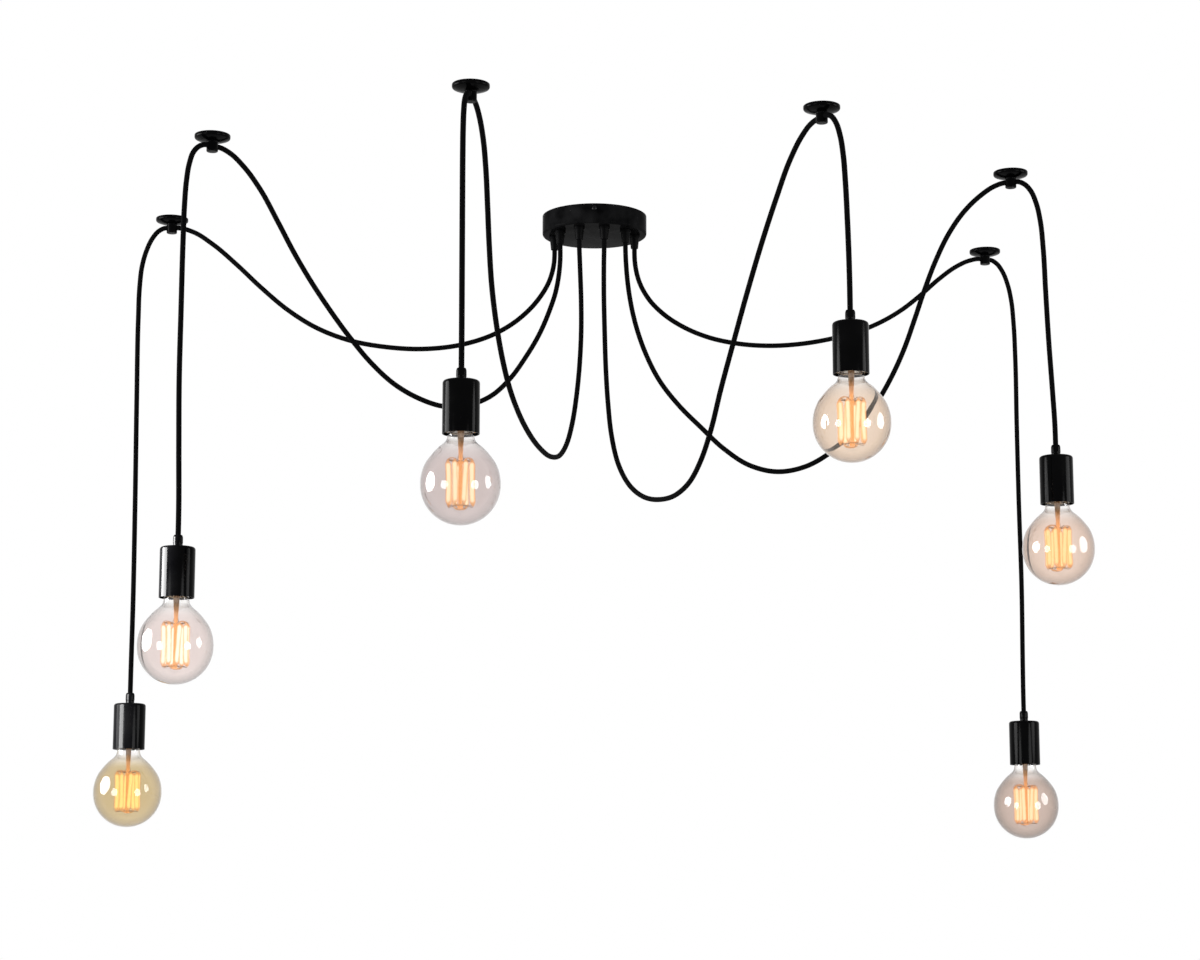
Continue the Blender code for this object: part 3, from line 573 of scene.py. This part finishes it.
def cordLine(route, leadIn, leadOut):
    # straight leads at both ends, a smooth curve between them
    pts = np.array([leadIn[1], *route, leadOut[0]], float)
    place, steps = runAlong(pts)
    slopes = np.gradient(pts, place, axis=0)
    first = np.subtract(leadIn[1], leadIn[0])
    last = np.subtract(leadOut[1], leadOut[0])
    slopes[0] = first / np.linalg.norm(first)
    slopes[-1] = last / np.linalg.norm(last)
    line = np.array([leadIn[0], *curveThrough(pts, slopes, steps, 24), pts[-1], leadOut[1]])
    run, _ = runAlong(line)
    marks = np.linspace(0, run[-1], round(run[-1] / cordShape["step"]))
    return [(np.interp(m, run, line[:, 0]), np.interp(m, run, line[:, 1])) for m in marks]


def addCord(name, flat, start, outward, body, node):
    path = [start + outward * x + Vector((0, 0, z)) for x, z in flat]
    mesh = sweepTube(name, path, layout["cordDiameter"] / 2, cordShape["sides"])
    piece = addPiece(name, mesh, cordCloth, body, [node])


for armName, arm in arms.items():
    hole, lead = -layout["holeDrop"], layout["stemRadius"] + layout["cordLead"]
    gripTop = layout["canopyFloor"] + layout["nippleTop"] + cordShape["inGrip"]
    gripExit = layout["canopyFloor"] - layout["gripLength"] - layout["cordLead"]
    flat = cordLine(arm["swag"][:-1], ((0, gripTop), (0, gripExit)),
                    ((arm["span"] - lead, hole), (arm["span"], hole)))
    addCord(armName + "_swagCord", flat, arm["grip"], arm["outward"], "fixed",
            armName + "_swag_cord")
    endX, endZ = arm["drop"][-1]
    flat = cordLine(arm["drop"][:-1], ((0, hole), (lead, hole)),
                    ((endX, endZ), (endX, endZ - cordShape["inHolder"])))
    addCord(armName + "_dropCord", flat, arm["hook"], arm["outward"], armName + "_cord",
            armName + "_drop_cord")
print("cords")


# Canopy

canopy = {"radius": 0.0755, "height": 0.029, "wall": 0.0012, "edge": 0.0036, "rimGap": 0.0005,
          "segments": 160, "screwHole": 0.00205, "screwDrop": 0.00784, "gripHole": 0.00555,
          "drill": 0.008}


def makeCanopy():
    r, wall, floor = canopy["radius"], canopy["wall"], -canopy["height"]
    top = -canopy["rimGap"]
    corners = [(0, floor + wall, 0), (r - wall, floor + wall, canopy["edge"] - wall),
               (r - wall, top, 0.0003), (r, top, 0.0004), (r, floor, canopy["edge"]), (0, floor, 0)]
    mesh = turnedMesh("canopyCover", roundedOutline(corners, 8), canopy["segments"], 30)
    cutters = []
    for side in (-1, 1):
        place = Matrix.Translation((0, side * r, -canopy["screwDrop"]))
        place = place @ Matrix.Rotation(math.pi / 2, 4, "X")
        cutters.append(drill(canopy["screwHole"], canopy["drill"], place))
    for arm in arms.values():
        place = Matrix.Translation(arm["grip"] + Vector((0, 0, floor)))
        cutters.append(drill(canopy["gripHole"], canopy["drill"], place))
    mesh = cutAway(mesh, cutters, "canopyCover")
    addPiece("canopyCover", mesh, canopyPaint, "fixed", ["canopy_cover"])


makeCanopy()

grip = {"bore": 0.00380, "nipple": 0.00525, "flange": 0.00785, "flangeHeight": 0.0048,
        "body": 0.00675, "mouth": 0.00525, "segments": 48, "threadPitch": 0.001,
        "threadDepth": 0.0003}


def makeGrips():
    top, length, b = layout["nippleTop"], layout["gripLength"], grip["bore"]
    corners = [(b, top, 0), (b, -length, 0.0004), (grip["mouth"], -length, 0.0008),
               (grip["body"], -grip["flangeHeight"] - 0.0006, 0.0012),
               (grip["body"] + 0.0002, -grip["flangeHeight"], 0),
               (grip["flange"], -grip["flangeHeight"], 0.0006), (grip["flange"], -0.0001, 0.0004),
               (grip["nipple"], -0.0001, 0)]
    outline = roundedOutline(corners, 4)
    turns = round(top / grip["threadPitch"])
    for k in range(turns):  # thread crests on the nipple
        z = k * grip["threadPitch"]
        outline += [(grip["nipple"] - grip["threadDepth"], z + 0.0001),
                    (grip["nipple"], z + 0.0005)]
    outline.append((grip["nipple"] - 0.0004, top))
    mesh = turnedMesh("canopyGrip", outline, grip["segments"], 40, closed=True)
    for armName, arm in arms.items():
        place = armPlace(arm, arm["grip"] + Vector((0, 0, layout["canopyFloor"])))
        addCopy(armName + "_canopyGrip", mesh, place, gripNylon, "fixed",
                [armName + "_canopy_grip"])


makeGrips()


def makeCanopyInside():
    # the solids of the part with their edges softened by the given width
    for name, node, width, finish, slotName in (
            ("ceilingBracket", "ceiling_bracket", 0.0003, bracketZinc, "zinc_steel"),
            ("terminalBlock", "terminal_block", 0.0003, terminalNylon, "terminal_plastic"),
            ("coverScrewFront", "cover_screw_front", 0.0002, screwBlack, "black_metal"),
            ("coverScrewBack", "cover_screw_back", 0.0002, screwBlack, "black_metal"),
            ("earthScrew", "earth_screw", 0.0002, brassTurned, "brass")):
        addPiece(name, softCopy(node, width), finish, "fixed", [node])


makeCanopyInside()
print("canopy")


# Ceiling hooks

hook = {"disc": 0.02325, "thickness": 0.0052, "dome": 0.0040, "stem": 0.0075, "height": 0.0225,
        "segments": 96, "hole": 0.0039, "holeSides": 40}


def makeHooks():
    d, t, dome, s, h = hook["disc"], hook["thickness"], hook["dome"], hook["stem"], hook["height"]
    corners = [(0, 0, 0), (d, 0, 0.0012), (d, -t, 0.0022), (d * 0.62, -t - dome * 0.75, 0.006),
               (s, -t - dome, 0.0012), (s, -h, 0.0014), (0, -h, 0)]
    mesh = turnedMesh("ceilingHook", roundedOutline(corners, 7), hook["segments"], 30)
    place = Matrix.Translation((0, 0, -layout["holeDrop"])) @ Matrix.Rotation(math.pi / 2, 4, "Y")
    mesh = cutAway(mesh, [drill(hook["hole"], 4 * s, place, hook["holeSides"])], "ceilingHook")
    for armName, arm in arms.items():
        addCopy(armName + "_ceilingHook", mesh, armPlace(arm, arm["hook"]), hookPaint, "fixed",
                [armName + "_hook"])


makeHooks()
print("hooks")


# Lamp holders and sockets; zero is the end of the cord

# neckShape is (radius, height over the cup, rounding) from the top down
# boreShape is (room round the bore, depth, rounding) from the bottom up
holder = {"radius": 0.02225, "height": 0.0645, "wall": 0.0012, "shoulder": 0.0042,
          "neckHeight": 0.015, "bore": 0.00387, "top": -0.0003, "lip": 0.0005, "segments": 128,
          "neckShape": ((0.0052, 0.0150, 0.0004), (0.0062, 0.0125, 0.0011),
                        (0.0063, 0.0050, 0.0006), (0.0060, 0.0041, 0.0005),
                        (0.0059, 0.0006, 0.0005), (0.0066, 0.0000, 0.0006)),
          "boreShape": ((0.0006, 0.0042, 0.0002), (0.0005, 0.0022, 0.0004),
                        (0.0, 0.0009, 0.0004))}
socket = {"inset": 0.0035, "outer": 0.0207, "bore": 0.01445, "boreDepth": 0.0283, "gap": 0.0003,
          "shoulder": 0.003, "mouth": 0.0022, "mouthStep": 0.0008, "mouthDepth": 0.0014,
          "threadStart": 0.0012, "threadPitch": 0.003629, "threadDepth": 0.0006, "threadTurns": 5,
          "stepsPerTurn": 24}


def makeHolders():
    r, wall, top = holder["radius"], holder["wall"], holder["top"]
    cupTop = top - holder["neckHeight"]
    cupBottom = cupTop - holder["height"]
    roof = cupTop - wall
    # the bore widens below its mouth, so that the cord's end clears it when the holder tilts
    corners = [(0, -holder["boreShape"][0][1], 0)]
    corners += [(holder["bore"] + room, -depth, size) for room, depth, size in holder["boreShape"]]
    corners += [(holder["bore"], top, 0.0002)]
    corners += [(out, cupTop + up, size) for out, up, size in holder["neckShape"]]
    corners += [(r, cupTop, holder["shoulder"]), (r, cupBottom, holder["lip"]),
                (r - wall, cupBottom, holder["lip"]),
                (r - wall, roof, holder["shoulder"] - wall), (0, roof, 0)]
    cup = turnedMesh("lampHolder", roundedOutline(corners, 7), holder["segments"], 32)
    for armName, arm in arms.items():
        addCopy(armName + "_lampHolder", cup, armPlace(arm, arm["lampTop"]), holderPaint,
                armName + "_holder", [armName + "_lamp_holder"])

    bottom = cupBottom + socket["inset"]
    outer, bore, boreTop = socket["outer"], socket["bore"], bottom + socket["boreDepth"]
    bodyTop, shoulder, depth = roof - socket["gap"], socket["shoulder"], socket["threadDepth"]
    corners = [(0, bodyTop, 0), (outer - shoulder, bodyTop, 0.001),
               (outer, bodyTop - shoulder, 0.001), (outer, bottom, 0.0008),
               (bore + socket["mouth"], bottom, 0.0006),
               (bore + socket["mouthStep"], bottom + socket["mouthDepth"], 0.0004),
               (bore + 0.0004, boreTop, 0), (0, boreTop, 0)]
    body = turnedMesh("socketBody", roundedOutline(corners, 5), 96, 32)
    thread = []  # the screw ring's wavy wall
    count = socket["stepsPerTurn"]
    for k in range(count * socket["threadTurns"] + 1):
        z = bottom + socket["threadStart"] + k * socket["threadPitch"] / count
        wave = 0.5 - 0.5 * math.cos(2 * math.pi * k / count)
        thread.append((bore - depth + depth * wave, z))
    thread += [(bore + 0.0003, thread[-1][1]), (bore + 0.0003, thread[0][1])]
    ring = turnedMesh("socketThread", thread, 72, 40, closed=True)

    for armName, arm in arms.items():
        place, rider = armPlace(arm, arm["lampTop"]), armName + "_holder"
        addCopy(armName + "_socketBody", body, place, socketTan, rider, [armName + "_socket"])
        addCopy(armName + "_socketThread", ring, place, brassTurned, rider, ())


makeHolders()
print("holders")


# Bulbs

# shoulder is (height over the centre, width over the neck) as shares, from the neck down
# lips are how far the mouth turns in, outside and inside; clearFrom is where the tint ends
bulb = {"globe": 0.0475, "wall": 0.0006, "neck": 0.0160, "neckLength": 0.0170, "underBase": 0.0002,
        "lips": (0.0012, 0.0026), "mouth": 0.0016, "clearFrom": 0.77, "rows": 76, "segments": 128,
        "shoulder": ((0.90, 0.006), (0.826, 0.04), (0.77, 0.137), (0.717, 0.273), (0.64, 0.44),
                     (0.54, 0.615), (0.40, 0.815), (0.21, 0.957))}
# three tints for each globe: faced, beside that, at its edge
glassTints = {
    "far_left": ((0.79, 0.69, 0.50), (0.80, 0.71, 0.54), (0.46, 0.40, 0.32)),
    "mid_left": ((0.90, 0.83, 0.81), (0.89, 0.83, 0.81), (0.46, 0.43, 0.42)),
    "front_left": ((0.79, 0.725, 0.71), (0.80, 0.74, 0.73), (0.52, 0.48, 0.47)),
    "front_right": ((0.92, 0.82, 0.73), (0.86, 0.75, 0.65), (0.46, 0.38, 0.32)),
    "mid_right": ((0.91, 0.80, 0.73), (0.82, 0.71, 0.64), (0.44, 0.37, 0.33)),
    "far_right": ((0.785, 0.69, 0.64), (0.68, 0.60, 0.55), (0.30, 0.26, 0.24)),
}


def bulbLevels():
    # the foot of the base and the centre of the globe
    foot = holder["top"] - holder["neckHeight"] - holder["height"] + socket["inset"]
    return foot, foot - bulb["neckLength"] - bulb["globe"]


def globeSide(radius, neck, top, centre, lip):
    # from the neck's mouth over the flared shoulder down to the bottom of the globe
    guide = [(neck, top - bulb["mouth"])]
    for up, out in bulb["shoulder"]:
        guide.append((neck + (radius - neck) * out, centre + (top - centre) * up))
    for k in range(13):  # the lower half in steps of 7.5 degrees
        angle = math.pi / 2 * (1 + k / 12)
        guide.append((radius * math.sin(angle), centre + radius * math.cos(angle)))
    line = [(p[0], p[1]) for p in smoothLine(guide, bulb["rows"])]
    return [(neck - lip, top)] + line[:-1] + [(0.0, centre - radius)]


def makeGlobes():
    foot, centre = bulbLevels()
    top = foot - bulb["underBase"]
    globe, neck, wall = bulb["globe"], bulb["neck"], bulb["wall"]
    outer = globeSide(globe, neck, top, centre, bulb["lips"][0])
    inner = globeSide(globe - wall, neck - wall, top, centre, bulb["lips"][1])
    mesh = turnedMesh("globe", outer[::-1] + inner, bulb["segments"], 50)
    for armName, arm in arms.items():
        clearAbove = arm["lampTop"][2] + (centre + (top - centre) * bulb["clearFrom"])
        glass = blownGlass("globeGlass_" + armName, *glassTints[armName], clearAbove)
        addCopy(armName + "_globe", mesh, armPlace(arm, arm["lampTop"]), glass, armName + "_bulb",
                [armName + "_bulb_glass"])


makeGlobes()

# threadFrom is over the base's foot, threadTo is under the top of its contact
base = {"radius": 0.0132, "height": 0.028, "insulator": 0.0100, "tip": 0.00475,
        "threadFrom": 0.0035, "threadTo": 0.0075, "threadDepth": 0.0006, "threadFade": 0.002,
        "threadRows": 120}


def makeShell(foot, low, high):
    # a cylinder whose rows are then pressed into the rolled screw thread
    r, depth = base["radius"], base["threadDepth"]
    rows, fadeOver = base["threadRows"], base["threadFade"]
    outline = [(0, foot), (r - 0.0008, foot), (r - 0.0003, foot + 0.0006), (r - 0.0003, low)]
    outline += [(r - depth, low + (high - low) * k / rows) for k in range(1, rows)]
    outline += [(r - 0.0010, high), (r - 0.0022, high + 0.0012), (0.0098, high + 0.0020),
                (0, high + 0.0020)]
    work = turnedWork(outline, 72)
    for v in work.verts:
        if low + 0.0001 < v.co.z < high - 0.0001 and v.co.xy.length > r * 0.8:
            fade = min(1.0, (v.co.z - low) / fadeOver, (high - v.co.z) / fadeOver)
            phase = v.co.z / socket["threadPitch"] * 2 * math.pi + math.atan2(v.co.y, v.co.x)
            v.co.xy = v.co.xy.normalized() * (r - depth + depth * math.cos(phase) * fade)
    return cleanMesh(work, "baseShell", 50)


def makeBases():
    foot, _ = bulbLevels()
    top = foot + base["height"]
    threadTop = top - base["threadTo"]
    shell = makeShell(foot, foot + base["threadFrom"], threadTop)
    corners = [(0, threadTop + 0.0019, 0), (base["insulator"], threadTop + 0.0019, 0.0004),
               (0.0062, top - 0.0016, 0.0010), (0, top - 0.0016, 0)]
    insulator = turnedMesh("baseInsulator", roundedOutline(corners, 5), 48, 40)
    corners = [(0, top - 0.0018, 0), (base["tip"], top - 0.0018, 0.0002),
               (base["tip"] * 0.86, top - 0.0002, 0.0009), (0, top, 0)]
    contact = turnedMesh("baseContact", roundedOutline(corners, 5), 40, 40)
    for armName, arm in arms.items():
        place, core = armPlace(arm, arm["lampTop"]), armName + "_lamp_core"
        addCopy(armName + "_baseShell", shell, place, shellNickel, core, [armName + "_bulb_base"])
        addCopy(armName + "_baseInsulator", insulator, place, insulatorGlass, core, ())
        addCopy(armName + "_baseContact", contact, place, brassTurned, core, ())


makeBases()

# stem is its radius at the mouth and where the rod begins
# tilts are how far the spokes' inner ends stand over their bends, low and high
cage = {"radius": 0.0155, "topRise": 0.0300, "bottomDrop": 0.0258, "runs": 8, "wire": 0.0040,
        "turnShare": 0.35, "turnFade": 0.006, "lean": 0.12, "bow": 0.05, "underBase": 0.0003,
        "stem": (0.0042, 0.0024), "stemLength": 0.030, "rod": 0.0024, "bead": 0.0034,
        "rodEnd": 0.002, "beadDrop": 0.003, "spoke": 0.00045, "tilts": (0.0016, -0.0020),
        "leadIn": 0.0003, "stemRows": 160, "wireRows": 520, "side": (0.98, 0.43, 0.13)}
# the colour at the middle of the wire and how strongly it glows
filamentGlow = {
    "far_left": ((1.0, 0.84, 0.34), 1.45), "mid_left": ((1.0, 0.93, 0.74), 1.45),
    "front_left": ((1.0, 0.86, 0.56), 1.40), "front_right": ((1.0, 0.86, 0.58), 1.35),
    "mid_right": ((1.0, 0.77, 0.37), 1.30), "far_right": ((1.0, 0.82, 0.50), 1.50),
}


def makeStem(top, low, high):
    # a glass stem that narrows to a thin rod, with a bead at each end of the cage
    (wide, narrow), rows = cage["stem"], cage["stemRows"]
    drop = low - cage["rodEnd"] - top
    path = [Vector((0, 0, top + drop * k / rows)) for k in range(rows + 1)]
    shares = []
    for p in path:
        t = (top - p.z) / cage["stemLength"]
        size = wide + (narrow - wide) * t if t < 1 else cage["rod"]
        for level in (low, high - cage["beadDrop"]):
            away = (p.z - level) / cage["bead"]
            if abs(away) < 1:
                size = max(size, cage["bead"] * math.sqrt(1 - away * away))
        shares.append(size / wide)
    return sweepTube("stem", path, wide, 24, shares)


def makeWire(low, high):
    # one wire up and down round the rod, bowed in a little on each run and thinner at each turn
    guide = []
    for k in range(cage["runs"]):
        middle = 2 * math.pi * (k + 0.5) / cage["runs"]
        lean = cage["lean"] * math.sin(2.3 * k + 0.7)  # not the same for any two runs
        ends = [(low, middle - lean), (high, middle + lean)]
        if k % 2:
            ends.reverse()
        (zA, angleA), (zB, angleB) = ends
        for t in (0.02, 0.16, 0.34, 0.5, 0.66, 0.84, 0.98):
            reach = cage["radius"] * (1 - cage["bow"] * math.sin(math.pi * t))
            angle = angleA + (angleB - angleA) * t
            guide.append((reach * math.cos(angle), reach * math.sin(angle), zA + (zB - zA) * t))
    line = smoothLine(guide, cage["wireRows"])
    shares = []
    for p in line:
        t = min(1.0, max(0.0, min(p.z - low, high - p.z) / cage["turnFade"]))
        shares.append(cage["turnShare"] + (1 - cage["turnShare"]) * t * t * (3 - 2 * t))
    return sweepTube("wire", line, cage["wire"], 8, shares)


def makeSupports(top, low, high):
    # spokes from the rod to each bend, low and high, and two lead-in wires beside the stem
    wires = []
    for level, tilt in zip((low, high), cage["tilts"]):
        for k in range(cage["runs"]):
            angle = 2 * math.pi * (k + 0.5) / cage["runs"]
            x, y = cage["radius"] * math.cos(angle), cage["radius"] * math.sin(angle)
            guide = [(0, 0, level + tilt), (x * 0.5, y * 0.5, level + tilt * 0.7), (x, y, level)]
            wires.append((smoothLine(guide, 7), cage["spoke"]))
    stemEnd = top - cage["stemLength"]
    for side in (-1, 1):
        guide = [(side * 0.0016, 0, top - 0.001), (side * 0.0022, 0, stemEnd + 0.002),
                 (side * 0.0040, 0.0010, stemEnd - 0.004), (side * 0.0150, 0.0040, high)]
        wires.append((smoothLine(guide, 24), cage["leadIn"]))
    work = bmesh.new()
    for line, radius in wires:
        one = sweepTube("support", line, radius, 6)
        work.from_mesh(one)
        bpy.data.meshes.remove(one)
    mesh = bpy.data.meshes.new("supports")
    work.to_mesh(mesh)
    work.free()
    mesh.shade_smooth()
    return mesh


def makeFilaments():
    foot, centre = bulbLevels()
    top, low, high = foot - cage["underBase"], centre - cage["bottomDrop"], centre + cage["topRise"]
    stem, wire = makeStem(top, low, high), makeWire(low, high)
    supports = makeSupports(top, low, high)
    for armName, arm in arms.items():
        # not turned: every bulb shows its cage from the same side
        place = Matrix.Translation(arm["lampTop"])
        core, z = armName + "_lamp_core", arm["lampTop"][2]
        middle, strength = filamentGlow[armName]
        hot = glowing("hotFilament_" + armName, middle, cage["side"], strength, z + low, z + high)
        addCopy(armName + "_filamentWire", wire, place, hot, core, [armName + "_bulb_filament"])
        addCopy(armName + "_glassStem", stem, place, stemGlass, core, ())
        addCopy(armName + "_supportWires", supports, place, supportWire, core, ())


makeFilaments()
print("bulbs")


# Floor, light and camera

room = {"floorDrop": 5.0, "floorRadius": 60.0, "floorColor": (0.90, 0.90, 0.90), "floorGlow": 0.42,
        "ambient": 0.5}


def seenRays(tree):
    # 1 where the camera, a gloss or a glass sees the surface, 0 for the light it gives
    rays = tree.nodes.new("ShaderNodeLightPath")
    seen = rays.outputs["Is Camera Ray"]
    for kind in ("Is Glossy Ray", "Is Transmission Ray"):
        seen = worked(tree, "MAXIMUM", seen, rays.outputs[kind])
    return seen


def makeRoom():
    work = bmesh.new()
    bmesh.ops.create_circle(work, cap_ends=True, segments=96, radius=room["floorRadius"])
    bmesh.ops.translate(work, verts=work.verts, vec=(0, 0, -room["floorDrop"]))
    floor = bpy.data.objects.new("floor", cleanMesh(work, "floor"))
    bpy.context.scene.collection.objects.link(floor)
    floorPaint, tree, shader = newMaterial("floorPaint", room["floorColor"], 0.7)
    floor.data.materials.append(floorPaint)
    shader.inputs["Emission Color"].default_value = (1, 1, 1, 1)
    glow = spreadValue(tree, seenRays(tree), 0.0, room["floorGlow"], 0.0, 1.0)  # pale far out too
    tree.links.new(glow, shader.inputs["Emission Strength"])

    world = bpy.data.worlds.new("studio")
    bpy.context.scene.world = world
    world.use_nodes = True
    tree = world.node_tree
    background = tree.nodes["Background"]
    background.inputs["Color"].default_value = (1, 1, 1, 1)
    strength = spreadValue(tree, seenRays(tree), room["ambient"], 1.0, 0.0, 1.0)
    tree.links.new(strength, background.inputs["Strength"])


# places in metres, power in watts; a lamp with "only" lights nothing but those arms' holders
lamps = {
    "spotLeft": {"place": (-3.35, -3.97, -0.90), "aim": (0, -0.25, -0.45),
                 "shape": "DISK", "size": (1.8, 1.8), "power": 110},
    "spotRight": {"place": (3.28, -4.02, -0.95), "aim": (0, -0.25, -0.45),
                  "shape": "DISK", "size": (2.0, 2.0), "power": 135},
    "panelLeft": {"place": (-2.40, -0.50, -0.30), "aim": (0, -0.40, -0.55),
                  "shape": "ELLIPSE", "size": (1.55, 1.35), "power": 110},
    "panelRight": {"place": (2.30, -0.70, -0.30), "aim": (0, -0.40, -0.55),
                   "shape": "ELLIPSE", "size": (1.05, 1.05), "power": 32},
    "stripLeft": {"place": (-1.22, -0.53, -0.60), "aim": (0, -0.50, -0.60),
                  "shape": "RECTANGLE", "size": (0.52, 0.7), "power": 205,
                  "only": ("far_left", "mid_left")},
}


def makeLamps():
    for name, lamp in lamps.items():
        light = bpy.data.lights.new(name, "AREA")
        light.shape = lamp["shape"]
        light.size, light.size_y = lamp["size"]
        light.energy = lamp["power"]
        stand = bpy.data.objects.new(name, light)
        stand.location = lamp["place"]
        aim = Vector(lamp["aim"]) - Vector(lamp["place"])
        stand.rotation_euler = aim.to_track_quat("-Z", "Y").to_euler()
        stand.visible_camera = False
        stand.visible_transmission = False
        bpy.context.scene.collection.objects.link(stand)
        if "only" in lamp:
            lit = bpy.data.collections.new(name + "Lit")
            for armName in lamp["only"]:
                lit.objects.link(bpy.data.objects[armName + "_lampHolder"])
            stand.light_linking.receiver_collection = lit


shot = {"place": (0.008, -3.666, -0.988), "pitch": 9.3, "lens": 78.0, "sensor": 36.0}


def makeCamera():
    data = bpy.data.cameras.new("camera")
    data.lens = shot["lens"]
    data.sensor_width = shot["sensor"]
    data.clip_start = 0.01
    camera = bpy.data.objects.new("camera", data)
    camera.location = shot["place"]
    camera.rotation_euler = (math.radians(90 + shot["pitch"]), 0, 0)
    bpy.context.scene.collection.objects.link(camera)
    bpy.context.scene.camera = camera


makeRoom()
makeLamps()
makeCamera()
bpy.context.scene.view_settings.view_transform = "Standard"
print("room, lamps and camera")

bpy.context.view_layer.update()
